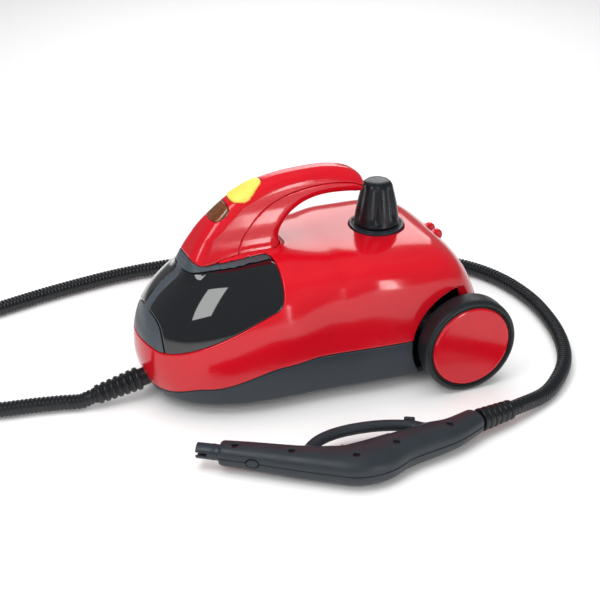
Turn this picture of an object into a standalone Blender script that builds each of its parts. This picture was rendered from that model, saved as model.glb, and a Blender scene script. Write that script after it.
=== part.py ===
"""Canister steam cleaner: boiler body on wheels, carrying handle, steam hose and steam gun.

The machine stands on z = 0 with its nose towards -X.  The steam gun lies flat on the same
surface at its side, and the corrugated hose runs from the nose gland round the machine to the gun.
Sizes are in metres.
"""
import math

import bmesh
import bpy
from mathutils import Vector

# ---------------------------------------------------------------- driving dimensions
GAP = 0.0003                      # clearance between pieces that rest on or cut each other
WALL = 0.0025                     # moulded casing wall
MACHINE_AT = (0.0349, 0.0683, 0.0)   # machine reference point in the shared frame
GUN_AT = (0.0149, -0.1467, 0.018)    # steam gun reference point in the shared frame

BODY_HALF_WIDTH = 0.093           # half section at the belt, over the nose
BODY_CROWN = 0.100                # belt to the top of the deck
BELT_Z = 0.060                    # height of the widest section
BASE_Z = 0.012                    # underside of the base
NOSE_FROM = -0.060                # where the nose begins to round, and its length
NOSE_LENGTH = 0.153
TAIL_FROM = 0.030                 # where the tail begins to round, and its length
TAIL_LENGTH = 0.160

WHEEL_RADIUS = 0.055
WHEEL_WIDTH = 0.026
WHEEL_X = 0.128
WHEEL_OUTER_Y = 0.126             # outer face of the tyre
TYRE_DEPTH = 0.0065               # tread to seat
RIM_LIP = 0.0016                  # ring of the rim between tyre and disc
AXLE_RADIUS = 0.004
ARCH_CLEARANCE = 0.004            # wheel arch round the tyre

CASTER_X = -0.140
CASTER_RADIUS = 0.009
CASTER_TRAIL = 0.005

BOILER_X = 0.069
BOILER_RADIUS = 0.050
BOILER_LOW_Z = 0.034
BOILER_SEAM_Z = 0.074
BOILER_TOP_Z = 0.114
NECK_RADIUS = 0.019
NECK_BORE = 0.0165
NECK_TOP_Z = 0.158
COLLAR_RADIUS = 0.0305
CAP_RADIUS = 0.025
CAP_Z = 0.1625
CAP_HEIGHT = 0.0500
CAP_PITCH = 0.0020                # rise of the cap in one turn

HANDLE_WALL = 0.0022
BUTTON_PROUD = 0.0020             # how far the power button stands out of the handle
HOSE_RADIUS = 0.0085
GLAND_RADIUS = 0.0130
GLAND_LENGTH = 0.056

GUN_WALL = 0.0022
GUARD_RADIUS = 0.0062
SCREW_RADIUS = 0.0028

# Colours: (red, green, blue), roughness, metallic
RED = ((0.62, 0.010, 0.022), 0.18, 0.0)
BLACK_GLOSS = ((0.012, 0.014, 0.018), 0.08, 0.0)
DARK_RIM = ((0.055, 0.075, 0.090), 0.35, 0.0)
BASE_GREY = ((0.040, 0.052, 0.062), 0.38, 0.0)
TYRE = ((0.024, 0.030, 0.036), 0.55, 0.0)
GUN_GREY = ((0.040, 0.048, 0.060), 0.45, 0.0)
HOSE_GREY = ((0.022, 0.026, 0.032), 0.50, 0.0)
YELLOW = ((0.90, 0.66, 0.08), 0.35, 0.0)
AMBER = ((0.30, 0.05, 0.015), 0.15, 0.0)
STEEL = ((0.62, 0.62, 0.62), 0.30, 1.0)
BRASS = ((0.70, 0.50, 0.20), 0.30, 1.0)
RUBBER = ((0.030, 0.030, 0.030), 0.80, 0.0)
BOARD = ((0.030, 0.140, 0.060), 0.50, 0.0)
WHITE = ((0.75, 0.74, 0.70), 0.60, 0.0)

X, Y, Z = Vector((1, 0, 0)), Vector((0, 1, 0)), Vector((0, 0, 1))
groups = {}


# ---------------------------------------------------------------- scene helpers
def clear_scene():
    for thing in list(bpy.data.objects):
        bpy.data.objects.remove(thing, do_unlink=True)
    for name in ("steam_cleaner", "cutters"):
        groups[name] = bpy.data.collections.new(name)
        bpy.context.scene.collection.children.link(groups[name])


def empty(name, place):
    guide = bpy.data.objects.new(name, None)
    guide.location = place
    groups["steam_cleaner"].objects.link(guide)
    return guide


def material(name, look):
    colour, roughness, metallic = look
    made = bpy.data.materials.new(name)
    made.use_nodes = True
    shader = made.node_tree.nodes["Principled BSDF"]
    shader.inputs["Base Color"].default_value = (*colour, 1)
    shader.inputs["Roughness"].default_value = roughness
    shader.inputs["Metallic"].default_value = metallic
    return made


def piece(name, mesh, look, parent, place=(0, 0, 0), turn=None):
    """One named sub-part with its own material."""
    made = bpy.data.objects.new(name, mesh)
    mesh.materials.append(material(name + "_finish", look))
    mesh.shade_smooth()
    mesh.set_sharp_from_angle(angle=math.radians(35))
    groups["steam_cleaner"].objects.link(made)
    made.parent = parent
    made.location = place
    if turn is not None:
        made.rotation_euler = turn
    return made


def cutter(name, mesh, parent, place=(0, 0, 0), turn=None):
    """A helper solid: drawn as wire, never rendered and never exported."""
    made = bpy.data.objects.new(name, mesh)
    groups["cutters"].objects.link(made)
    made.parent = parent
    made.location = place
    made.hide_render = True
    made.display_type = "WIRE"
    if turn is not None:
        made.rotation_euler = turn
    return made


def boolean(target, tool, operation="DIFFERENCE"):
    step = target.modifiers.new(operation.lower() + "_" + tool.name, "BOOLEAN")
    step.operation = operation
    step.solver = "EXACT"
    step.object = tool


def bevel(target, width, segments=1):
    step = target.modifiers.new("rounded_edges", "BEVEL")
    step.width = width
    step.segments = segments
    step.limit_method = "ANGLE"
    step.angle_limit = math.radians(50)


def solidify(target, wall):
    step = target.modifiers.new("wall", "SOLIDIFY")
    step.thickness = wall
    step.offset = -1
    step.use_even_offset = True


# ---------------------------------------------------------------- mesh helpers
def to_mesh(name, shape):
    bmesh.ops.recalc_face_normals(shape, faces=shape.faces)
    mesh = bpy.data.meshes.new(name)
    shape.to_mesh(mesh)
    shape.free()
    return mesh


def box_mesh(name, size, centre=(0, 0, 0)):
    shape = bmesh.new()
    bmesh.ops.create_cube(shape, size=1.0)
    bmesh.ops.scale(shape, vec=size, verts=shape.verts)
    bmesh.ops.translate(shape, vec=centre, verts=shape.verts)
    return to_mesh(name, shape)


def rod_mesh(name, radius, length, sides=20):
    """A cylinder along local Z, centred on the origin."""
    shape = bmesh.new()
    bmesh.ops.create_cone(shape, cap_ends=True, segments=sides, radius1=radius, radius2=radius,
                          depth=length)
    return to_mesh(name, shape)


def turned_mesh(name, profile, steps=24):
    """A closed (radius, height) outline turned round local Z."""
    rings = []
    for step in range(steps):
        angle = 2 * math.pi * step / steps
        rings.append([Vector((r * math.cos(angle), r * math.sin(angle), h)) for r, h in profile])
    shape = bmesh.new()
    made = [[shape.verts.new(p) for p in ring] for ring in rings]
    count = len(profile)
    for i in range(steps):
        here, after = made[i], made[(i + 1) % steps]
        for j in range(count):
            k = (j + 1) % count
            shape.faces.new((here[j], after[j], after[k], here[k]))
    bmesh.ops.remove_doubles(shape, verts=shape.verts, dist=1e-6)
    return to_mesh(name, shape)


def loft_mesh(name, rings):
    """A closed skin over rings of points, each with the same number of points."""
    shape = bmesh.new()
    made = [[shape.verts.new(p) for p in ring] for ring in rings]
    count = len(rings[0])
    for here, after in zip(made, made[1:]):
        for j in range(count):
            k = (j + 1) % count
            shape.faces.new((here[j], here[k], after[k], after[j]))
    shape.faces.new(reversed(made[0]))
    shape.faces.new(made[-1])
    return to_mesh(name, shape)


def outline_mesh(name, points, thickness):
    """A flat outline in XY, extruded by a thickness centred on z = 0."""
    flat = bpy.data.curves.new(name, "CURVE")
    flat.dimensions = "2D"
    flat.fill_mode = "BOTH"
    flat.extrude = thickness / 2
    run = flat.splines.new("POLY")
    run.points.add(len(points) - 1)
    for point, (x, y) in zip(run.points, points):
        point.co = (x, y, 0, 1)
    run.use_cyclic_u = True
    return curve_to_mesh(flat)


def tube_curve(name, points, radius, sides=2):
    """A round rod, pipe or hose along points."""
    wire = bpy.data.curves.new(name, "CURVE")
    wire.dimensions = "3D"
    wire.bevel_depth = radius
    wire.bevel_resolution = sides
    wire.use_fill_caps = True
    run = wire.splines.new("POLY")
    run.points.add(len(points) - 1)
    for point, place in zip(run.points, points):
        point.co = (*place, 1)
    return wire


def curve_to_mesh(curve):
    """The curve's solid as a mesh with its caps welded; the curve goes."""
    holder = bpy.data.objects.new(curve.name + "_curve", curve)
    bpy.context.scene.collection.objects.link(holder)
    bpy.context.view_layer.update()
    state = bpy.context.evaluated_depsgraph_get()
    mesh = bpy.data.meshes.new_from_object(holder.evaluated_get(state))
    bpy.data.objects.remove(holder, do_unlink=True)
    shape = bmesh.new()
    shape.from_mesh(mesh)
    bmesh.ops.remove_doubles(shape, verts=shape.verts, dist=1e-6)
    bmesh.ops.recalc_face_normals(shape, faces=shape.faces)
    shape.to_mesh(mesh)
    shape.free()
    return mesh


def smooth_path(points, per_span):
    """Points along a Catmull-Rom curve through the given ones."""
    known = [Vector(p) for p in points]
    ends = [2 * known[0] - known[1], *known, 2 * known[-1] - known[-2]]
    path = []
    for a, b, c, d in zip(ends, ends[1:], ends[2:], ends[3:]):
        for step in range(per_span):
            t = step / per_span
            path.append(0.5 * (2 * b + (c - a) * t + (2 * a - 5 * b + 4 * c - d) * t ** 2
                               + (3 * b - a - 3 * c + d) * t ** 3))
    return path + [known[-1]]


def spaced(path, spacing):
    """The path read again at an even spacing."""
    total = sum((b - a).length for a, b in zip(path, path[1:]))
    count = max(2, round(total / spacing))
    found, walked, target = [path[0]], 0.0, total / count
    for a, b in zip(path, path[1:]):
        step = (b - a).length
        while walked + step >= target * len(found) and len(found) < count:
            found.append(a.lerp(b, (target * len(found) - walked) / step))
        walked += step
    return found + [path[-1]]


def eased(value, knots):
    """A smooth blend between (position, value) knots."""
    if value <= knots[0][0]:
        return knots[0][1]
    for (x0, y0), (x1, y1) in zip(knots, knots[1:]):
        if value <= x1:
            t = (value - x0) / (x1 - x0)
            return y0 + (y1 - y0) * t * t * (3 - 2 * t)
    return knots[-1][1]


# ---------------------------------------------------------------- body surface
SECTION_POWER = ((-0.180, 2.35), (-0.070, 2.9), (-0.010, 4.5), (0.030, 5.8), (0.090, 5.6), (0.150, 4.4))
FLANK_RISE = ((-0.060, 0.0), (0.080, 0.009))   # the flanks spread towards the wheels
DECK_RISE = ((-0.120, 0.006), (-0.060, 0.004), (0.000, 0.001), (0.070, -0.001), (0.150, -0.004))
SEAM_RISE = ((-0.205, -0.036), (-0.160, -0.023), (-0.075, -0.003), (-0.030, 0.002), (0.140, 0.002))
NOSE_POWER = 2.3
TAIL_POWER = 3.2
BODY_SCALE = 0.085                # turns the section's ratio into a near distance
TAIL_SLOPE_AT = (0.146, 0.136)
TAIL_SLOPE_NORMAL = (0.897, 0.442)
AXIS_X = -0.010                   # the body is seen whole from this upright axis


def smooth_max(a, b, reach):
    h = max(reach - abs(a - b), 0) / reach
    return max(a, b) + h * h * reach / 4


def body_field(x, y, z):
    """Negative inside the body, positive outside, near a distance close to the skin."""
    along = max((NOSE_FROM - x) / NOSE_LENGTH, (x - TAIL_FROM) / TAIL_LENGTH, 0)
    plan_power = NOSE_POWER if x < 0 else TAIL_POWER
    power = eased(x, SECTION_POWER)
    crown = BODY_CROWN + eased(x, DECK_RISE)
    half_width = BODY_HALF_WIDTH + eased(x, FLANK_RISE)
    plan = (abs(y) / half_width) ** plan_power + along ** plan_power
    up = max(z - BELT_Z, 0) / crown
    ratio = (plan ** (power / plan_power) + up ** power) ** (1 / power)
    field = (ratio - 1) * BODY_SCALE
    below = max(BELT_Z - z, 0) / (BELT_Z - BASE_Z)
    field += 0.009 * below ** 2
    slope = ((x - TAIL_SLOPE_AT[0]) * TAIL_SLOPE_NORMAL[0]
             + (z - TAIL_SLOPE_AT[1]) * TAIL_SLOPE_NORMAL[1])
    field = smooth_max(field, slope, 0.030)
    return smooth_max(field, BASE_Z - z, 0.006)


def skin(angle, z, rise, offset):
    """The skin point seen from (AXIS_X, 0, z) along a plan angle and a rise, moved out by offset."""
    way = Vector((math.cos(angle) * math.cos(rise), math.sin(angle) * math.cos(rise), math.sin(rise)))
    start = Vector((AXIS_X, 0, z))
    near, far = 0.0, 0.30
    for _ in range(34):
        middle = (near + far) / 2
        spot = start + way * middle
        if body_field(*spot) > offset:
            far = middle
        else:
            near = middle
    return start + way * near


def seam_z(x):
    return BELT_Z + eased(x, SEAM_RISE)


def seam_ring(angles, offset, shift):
    """The body's outline along the seam between base and upper casing."""
    ring = []
    for angle in angles:
        z = BELT_Z
        for _ in range(4):
            z = seam_z(skin(angle, z, 0, offset).x) + shift
        ring.append(skin(angle, z, 0, offset))
    return ring


PLAN_STEPS = 28
PLAN_ANGLES = [2 * math.pi * (i + 0.5) / PLAN_STEPS for i in range(PLAN_STEPS)]
CROWN_RISES = [math.radians(a) for a in (7, 15, 23, 31, 38, 45, 54, 66, 78)]


def upper_rings(offset, shift):
    seam = seam_ring(PLAN_ANGLES, offset, shift)
    rings = [seam]
    for share in (0.34, 0.67, 1.0):
        ring = []
        for angle, low in zip(PLAN_ANGLES, seam):
            top = max(BELT_Z, low.z) + 0.002
            ring.append(skin(angle, low.z + (top - low.z) * share, 0, offset))
        rings.append(ring)
    for rise in CROWN_RISES:
        rings.append([skin(angle, BELT_Z, rise, offset) for angle in PLAN_ANGLES])
    return rings


def lower_rings(offset, shift):
    seam = seam_ring(PLAN_ANGLES, offset, shift)
    rings = [seam]
    for share in (0.4, 0.75, 0.92, 0.99):
        rings.append([skin(angle, low.z + (BASE_Z + 0.0004 - low.z) * share, 0, offset)
                      for angle, low in zip(PLAN_ANGLES, seam)])
    middle = Vector((AXIS_X, 0, BASE_Z - offset))
    rings.append([middle.lerp(Vector((p.x, p.y, middle.z)), 0.93) for p in rings[-1]])
    return rings


def fan_mesh(name, rings, tip):
    """A skin over rings that closes on a point and stays open at the first ring."""
    shape = bmesh.new()
    made = [[shape.verts.new(p) for p in ring] for ring in rings]
    for here, after in zip(made, made[1:]):
        for j in range(len(here)):
            k = (j + 1) % len(here)
            shape.faces.new((here[j], here[k], after[k], after[j]))
    last, end = made[-1], shape.verts.new(tip)
    for j in range(len(last)):
        shape.faces.new((last[j], last[(j + 1) % len(last)], end))
    return shape


def open_shell(name, rings, tip, outward):
    shape = fan_mesh(name, rings, tip)
    bmesh.ops.recalc_face_normals(shape, faces=shape.faces)
    first = max(shape.faces, key=lambda f: f.calc_center_median().dot(outward))
    if first.normal.dot(outward) < 0:
        bmesh.ops.reverse_faces(shape, faces=shape.faces)
    mesh = bpy.data.meshes.new(name)
    shape.to_mesh(mesh)
    shape.free()
    return mesh


def body_solid(name, offset):
    """The whole closed body, for cutting what stands on it."""
    rings = list(reversed(lower_rings(offset, 0))) + upper_rings(offset, 0)[1:]
    crown = BELT_Z + BODY_CROWN + eased(AXIS_X, DECK_RISE)
    shape = fan_mesh(name, rings, (AXIS_X, 0, crown + offset))
    shape.verts.ensure_lookup_table()
    shape.faces.new(shape.verts[:PLAN_STEPS])
    return to_mesh(name, shape)


# ---------------------------------------------------------------- casing outlines seen from the side
VISOR_SIDE = ((-0.225, 0.0815), (-0.2075, 0.0780), (-0.2010, 0.0750), (-0.1900, 0.0775),
              (-0.1730, 0.0830), (-0.1460, 0.0940), (-0.1260, 0.1030), (-0.1080, 0.1110),
              (-0.0930, 0.1170), (-0.0800, 0.1215), (-0.0755, 0.1260), (-0.0725, 0.1360),
              (-0.0705, 0.1500), (-0.0690, 0.1635), (-0.0970, 0.1630), (-0.1270, 0.1600),
              (-0.1410, 0.1585), (-0.1500, 0.1600), (-0.1570, 0.1660), (-0.1600, 0.1800),
              (-0.225, 0.1800))
WINDOW_SIDE = ((-0.1975, 0.0840), (-0.1910, 0.0805), (-0.1730, 0.0855), (-0.1460, 0.0965),
               (-0.1260, 0.1055), (-0.1080, 0.1135), (-0.0930, 0.1195), (-0.0820, 0.1235),
               (-0.0780, 0.1280), (-0.0752, 0.1370), (-0.0732, 0.1500), (-0.0720, 0.1600),
               (-0.0960, 0.1600), (-0.1190, 0.1570), (-0.1480, 0.1535), (-0.1650, 0.1520),
               (-0.2150, 0.1500), (-0.2150, 0.1150), (-0.1975, 0.1120))
SPINE_HALF = 0.0070               # half width of the frame's bar down the middle of the nose


def inset(points, distance):
    """The outline with every edge moved inwards; the outline runs anticlockwise."""
    moved = []
    for before, here, after in zip(points[-1:] + points[:-1], points, points[1:] + points[:1]):
        a = (Vector(here) - Vector(before)).normalized()
        b = (Vector(after) - Vector(here)).normalized()
        normal = Vector((-a.y, a.x)) + Vector((-b.y, b.x))
        moved.append(Vector(here) + normal * distance / max(0.3, normal.dot(Vector((-a.y, a.x)))))
    return [tuple(p) for p in moved]


def side_prism(name, outline, low_y, high_y):
    """The side outline made into a solid between two Y planes."""
    rings = [[Vector((x, y, z)) for x, z in outline] for y in (low_y, high_y)]
    return loft_mesh(name, rings)


# ---------------------------------------------------------------- column and handle
HANDLE_PAIRS = (((-0.140, 0.110), (-0.050, 0.120)), ((-0.157, 0.138), (-0.052, 0.138)),
                ((-0.159, 0.156), (-0.054, 0.156)), ((-0.149, 0.177), (-0.054, 0.170)),
                ((-0.134, 0.196), (-0.052, 0.179)), ((-0.116, 0.213), (-0.048, 0.187)),
                ((-0.096, 0.226), (-0.042, 0.194)), ((-0.075, 0.235), (-0.034, 0.200)),
                ((-0.050, 0.240), (-0.023, 0.2055)), ((-0.020, 0.242), (-0.008, 0.2095)),
                ((0.008, 0.241), (0.010, 0.2105)), ((0.030, 0.236), (0.030, 0.2090)),
                ((0.044, 0.227), (0.040, 0.2075)), ((0.0500, 0.2165), (0.0470, 0.2075)))
HANDLE_HALF_WIDTH = ((0.140, 0.0260), (0.160, 0.0250), (0.185, 0.0215), (0.215, 0.0175), (0.235, 0.0160))
HANDLE_CORNER = 0.0135
HANDLE_STEPS = 18
BUTTON_OUTLINE = ((5.55, 0.0085), (5.75, 0.0125), (6.05, 0.0150), (6.4, 0.0145), (6.8, 0.0110), (7.25, 0.0060))
LENS_OUTLINE = ((4.35, 0.0115), (4.55, 0.0150), (4.95, 0.0150), (5.3, 0.0125))
BUTTON_PRESS = Vector((0.405, 0, -0.914))
LENS_INWARD = Vector((0.700, 0, -0.714))


def pair_at(place):
    """Outer and inner edge of the handle at a place between the listed pairs."""
    last = len(HANDLE_PAIRS) - 1
    index = min(int(place), last - 1)
    t = place - index
    found = []
    for side in (0, 1):
        a, b, c, d = (Vector(HANDLE_PAIRS[min(max(index + k, 0), last)][side]) for k in (-1, 0, 1, 2))
        found.append(0.5 * (2 * b + (c - a) * t + (2 * a - 5 * b + 4 * c - d) * t ** 2
                            + (3 * b - a - 3 * c + d) * t ** 3))
    return found


def handle_section(place):
    """Centre, direction to the outer edge, half depth, half width and corner radius."""
    outer, inner = pair_at(place)
    centre = (outer + inner) / 2
    reach = (outer - inner).length / 2
    way = (outer - inner).normalized()
    width = eased(centre.y, HANDLE_HALF_WIDTH)
    tip = max(0.0, (place - 11.5) / 1.75)
    width *= math.sqrt(max(0.12, 1 - tip ** 2))
    corner = min(HANDLE_CORNER, width - 0.0004, reach - 0.0004)
    return (Vector((centre.x, 0, centre.y)), Vector((way.x, 0, way.y)),
            reach, width, corner)


def handle_half(place, side):
    """Half a section: side 1 is the outer cover, side -1 the grip side."""
    centre, way, reach, width, corner = handle_section(place)
    ring = [centre + way * side * GAP / 2 + Y * width]
    for turn in (90, 60, 30, 0):
        a = math.radians(turn)
        ring.append(centre + way * side * (reach - corner + corner * math.cos(a))
                    + Y * (width - corner + corner * math.sin(a)))
    return ring + [Vector((p.x, -p.y, p.z)) for p in reversed(ring)]


def handle_shell(name, side):
    places = [13 * i / HANDLE_STEPS for i in range(HANDLE_STEPS + 1)]
    rings = [handle_half(place, side) for place in places]
    centre = handle_section(13)[0] + Vector((0.0032, 0, -0.0012))
    rings.append([centre + (p - centre) * 0.35 for p in rings[-1]])
    shape = bmesh.new()
    made = [[shape.verts.new(p) for p in ring] for ring in rings]
    for here, after in zip(made, made[1:]):
        for j in range(len(here) - 1):
            shape.faces.new((here[j], here[j + 1], after[j + 1], after[j]))
    shape.faces.new(made[-1])
    bmesh.ops.recalc_face_normals(shape, faces=shape.faces)
    first = max(shape.faces, key=lambda f: f.calc_center_median().z * side)
    if first.normal.z * side < 0:
        bmesh.ops.reverse_faces(shape, faces=shape.faces)
    mesh = bpy.data.meshes.new(name)
    shape.to_mesh(mesh)
    shape.free()
    return mesh


def ridge_patch(name, outline, grow, lift, inward, depth):
    """A solid patch of the handle's outer ridge, lifted out of it, with its walls along inward."""
    across = [k / 3 for k in range(-3, 4)]
    stations = list(outline)
    stations[0] = (stations[0][0] - grow * 55, stations[0][1])
    stations[-1] = (stations[-1][0] + grow * 45, stations[-1][1])
    rings = []
    for place, half in stations:
        centre, way, reach, width, corner = handle_section(place)
        top = []
        for share in across:
            y = (half + grow) * share
            beyond = max(0.0, abs(y) - (width - corner))
            along = reach - corner + math.sqrt(max(0.0, corner ** 2 - beyond ** 2))
            top.append(centre + way * along + Y * y - inward * lift)
        rings.append(top + [p + inward * depth for p in reversed(top)])
    return loft_mesh(name, rings)


# ---------------------------------------------------------------- casings
ARCH_FROM_Y = WHEEL_OUTER_Y - WHEEL_WIDTH - 0.010
GLAND_AT = Vector((-0.2050, 0, 0.0260))
GLAND_WAY = Vector((-0.9785, 0, -0.2062))
GLAND_TURN = (0, math.atan2(GLAND_WAY.x, GLAND_WAY.z), 0)
GLAND_NECK = 0.0100
CORD_GLAND_Z = 0.035
LUG_X, LUG_Z = 0.1400, 0.1375     # the pair of small lugs at the deck's rear edge
LUG_RADIUS, LUG_WIDTH, LUG_SPREAD = 0.0070, 0.0080, 0.0090
CORD_NECK = 0.0070
CASTER_CUP = 0.0200
FLOOR_Z = BASE_Z + WALL + GAP


def make_casings(machine):
    arch_radius = WHEEL_RADIUS + ARCH_CLEARANCE
    arch_mesh = rod_mesh("arch", arch_radius, 0.06, 32)
    arches = [cutter("arch_" + side, arch_mesh, machine,
                     (WHEEL_X, way * (ARCH_FROM_Y + 0.03), WHEEL_RADIUS), (math.pi / 2, 0, 0))
              for side, way in (("left", -1), ("right", 1))]
    axle_hole = cutter("axle_hole", rod_mesh("axle_hole", AXLE_RADIUS + 2 * GAP, 0.24, 16), machine,
                       (WHEEL_X, 0, WHEEL_RADIUS), (math.pi / 2, 0, 0))
    caster_hole = cutter("caster_hole", rod_mesh("caster_hole", CASTER_CUP + GAP, 0.03, 28), machine,
                         (CASTER_X, 0, BASE_Z))
    gland_hole = cutter("gland_hole", rod_mesh("gland_hole", GLAND_NECK + GAP, 0.05, 24), machine,
                        GLAND_AT, GLAND_TURN)
    tail_x = skin(0, CORD_GLAND_Z, 0, 0).x
    cord_hole = cutter("cord_hole", rod_mesh("cord_hole", CORD_NECK + GAP, 0.03, 20), machine,
                       (tail_x, 0, CORD_GLAND_Z), (0, math.pi / 2, 0))
    deck_hole = cutter("deck_hole", rod_mesh("deck_hole", COLLAR_RADIUS + GAP, 0.04, 32), machine,
                       (BOILER_X, 0, BELT_Z + BODY_CROWN))
    visor_cut = cutter("visor_cut", side_prism("visor_cut", VISOR_SIDE, -0.12, 0.12), machine)

    base = piece("base_shell",
                 open_shell("base_shell", lower_rings(0, -GAP), (AXIS_X, 0, BASE_Z), -Z),
                 BASE_GREY, machine)
    solidify(base, WALL)
    for tool in (*arches, axle_hole, caster_hole, gland_hole, cord_hole):
        boolean(base, tool)

    crown = (AXIS_X, 0, BELT_Z + BODY_CROWN + eased(AXIS_X, DECK_RISE))
    upper = piece("upper_casing", open_shell("upper_casing", upper_rings(0, GAP), crown, Z),
                  RED, machine)
    solidify(upper, WALL)
    for tool in (visor_cut, *arches, deck_hole, gland_hole):
        boolean(upper, tool)
    for side, way in (("left", -1), ("right", 1)):
        lug = cutter("rear_lug_" + side, rod_mesh("rear_lug", LUG_RADIUS, LUG_WIDTH, 14), machine,
                     (LUG_X, way * LUG_SPREAD, LUG_Z), (math.pi / 2, 0, 0))
        bevel(lug, 0.0012)
        boolean(upper, lug, "UNION")

    fit = inset(VISOR_SIDE, GAP)
    visor_keep = cutter("visor_keep", side_prism("visor_keep", fit, -0.12, 0.12), machine)
    frame = piece("visor_frame", open_shell("visor_frame", upper_rings(0, GAP), crown, Z),
                  DARK_RIM, machine)
    solidify(frame, WALL)
    boolean(frame, visor_keep, "INTERSECT")
    for side, way in (("left", -1), ("right", 1)):
        near, far = sorted((way * SPINE_HALF, way * 0.12))
        hole = cutter("window_hole_" + side, side_prism("window_hole", WINDOW_SIDE, near, far), machine)
        boolean(frame, hole)
        near, far = sorted((way * (SPINE_HALF + GAP), way * 0.12))
        keep = cutter("window_keep_" + side,
                      side_prism("window_keep", inset(WINDOW_SIDE, GAP), near, far), machine)
        pane = piece("visor_window_" + side,
                     open_shell("visor_window", upper_rings(0, GAP), crown, Z), BLACK_GLOSS, machine)
        solidify(pane, WALL)
        boolean(pane, keep, "INTERSECT")
    return tail_x


def make_handle(machine):
    body = cutter("body_clearance", body_solid("body_clearance", GAP), machine)
    button_hole = cutter("button_hole", ridge_patch("button_hole", BUTTON_OUTLINE, 2 * GAP, 0.006,
                                                    BUTTON_PRESS, 0.020), machine)
    lens_hole = cutter("lens_hole", ridge_patch("lens_hole", LENS_OUTLINE, GAP, 0.006,
                                                LENS_INWARD, 0.016), machine)
    cover = piece("handle_cover", handle_shell("handle_cover", 1), RED, machine)
    solidify(cover, HANDLE_WALL)
    for tool in (body, button_hole, lens_hole):
        boolean(cover, tool)
    grip = piece("handle_grip", handle_shell("handle_grip", -1), RED, machine)
    solidify(grip, HANDLE_WALL)
    boolean(grip, body)
    piece("power_button", ridge_patch("power_button", BUTTON_OUTLINE, 0, BUTTON_PROUD, BUTTON_PRESS, 0.0075),
          YELLOW, machine)
    piece("indicator_lens", ridge_patch("indicator_lens", LENS_OUTLINE, 0, 0.0003, LENS_INWARD, 0.0032),
          AMBER, machine)
    module = piece("switch_module", box_mesh("switch_module", (0.012, 0.012, 0.010)), WHITE, machine,
                   (-0.0775, 0, 0.2075), (0, math.radians(-24), 0))
    bevel(module, 0.0008)


# ---------------------------------------------------------------- boiler and steam circuit
def make_boiler(machine):
    radius, low, seam, top, sheet = BOILER_RADIUS, BOILER_LOW_Z, BOILER_SEAM_Z, BOILER_TOP_Z, 0.0018
    flange = radius + 0.0035
    here = (BOILER_X, 0, 0)
    piece("boiler_lower", turned_mesh("boiler_lower", [
        (0, low), (radius - 0.006, low), (radius, low + 0.006), (radius, seam - sheet),
        (flange, seam - sheet), (flange, seam - GAP), (radius - sheet, seam - GAP),
        (radius - sheet, low + 0.007), (radius - 0.007, low + sheet), (0, low + sheet)], 22),
        STEEL, machine, here)
    piece("boiler_upper", turned_mesh("boiler_upper", [
        (flange, seam), (flange, seam + sheet), (radius, seam + sheet), (radius, top - 0.010),
        (radius - 0.004, top - 0.003), (radius - 0.010, top), (NECK_RADIUS, top),
        (NECK_RADIUS, NECK_TOP_Z), (NECK_BORE, NECK_TOP_Z), (NECK_BORE, top - sheet),
        (radius - 0.0105, top - sheet), (radius - 0.0055, top - 0.0045),
        (radius - sheet, top - 0.0105), (radius - sheet, seam)], 22),
        STEEL, machine, here)
    coil = 0.0042
    piece("heating_element", turned_mesh("heating_element", [
        (0.034 + coil * math.cos(a), low - GAP - coil + coil * math.sin(a))
        for a in (2 * math.pi * k / 6 for k in range(6))], 22), STEEL, machine, here)
    ring = (NECK_RADIUS + radius - 0.010) / 2
    for name, dx, dy, size, tall, look in (
            ("thermostat", 0, -ring, 0.0090, 0.006, WHITE),
            ("pressure_switch", 0, ring, 0.0085, 0.014, WHITE),
            ("relief_valve", ring, 0, 0.0060, 0.011, BRASS)):
        piece(name, rod_mesh(name, size, tall, 16), look, machine,
              (BOILER_X + dx, dy, top + GAP + tall / 2))
    for side, way in (("left", -1), ("right", 1)):
        foot, plate, tall = 0.014, 0.0020, seam - sheet - FLOOR_Z
        outline = [(-foot, 0), (plate, 0), (plate, tall), (0, tall), (0, plate), (-foot, plate)]
        piece("boiler_bracket_" + side, outline_mesh("boiler_bracket", outline, 0.024), STEEL, machine,
              (BOILER_X, way * (flange + GAP + 0.0005), FLOOR_Z),
              (math.pi / 2, 0, way * math.pi / 2))

    block_low, block_high = FLOOR_Z, FLOOR_Z + 0.025
    valve = piece("solenoid_valve", box_mesh("solenoid_valve", (0.038, 0.024, block_high - block_low)),
                  BRASS, machine, (-0.013, 0, (block_low + block_high) / 2))
    bevel(valve, 0.0012)
    piece("solenoid_coil", rod_mesh("solenoid_coil", 0.012, 0.022, 20), BLACK_GLOSS, machine,
          (-0.018, 0, block_high + GAP + 0.011))
    rise = smooth_path([(BOILER_X - ring, 0, top + GAP), (BOILER_X - ring - 0.003, 0, top + 0.012),
                        (0.020, 0, top + 0.010), (0.004, 0, 0.095), (-0.0005, 0, 0.070),
                        (-0.0005, 0, block_high + GAP)], 3)
    piece("steam_pipe_rise", tube_curve_mesh("steam_pipe_rise", rise, 0.0028), BRASS, machine)
    inner_end = GLAND_AT - GLAND_WAY * 0.0140
    run = [Vector((-0.032 - GAP, 0, 0.028))]
    run += smooth_path([(-0.037, 0, 0.028), (-0.085, 0.020, 0.032), (-0.135, 0.030, 0.036),
                        (-0.168, 0.018, 0.035), inner_end - GLAND_WAY * 0.0050], 4)
    run.append(inner_end - GLAND_WAY * GAP)
    piece("steam_pipe_run", tube_curve_mesh("steam_pipe_run", run, 0.0028), BRASS, machine)
    piece("control_board", box_mesh("control_board", (0.050, 0.060, 0.0016)), BOARD, machine,
          (-0.078, 0, 0.066))
    block = piece("terminal_block", box_mesh("terminal_block", (0.020, 0.030, 0.014)), WHITE, machine,
                  (0.138, 0, FLOOR_Z + 0.007))
    bevel(block, 0.001)


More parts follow.
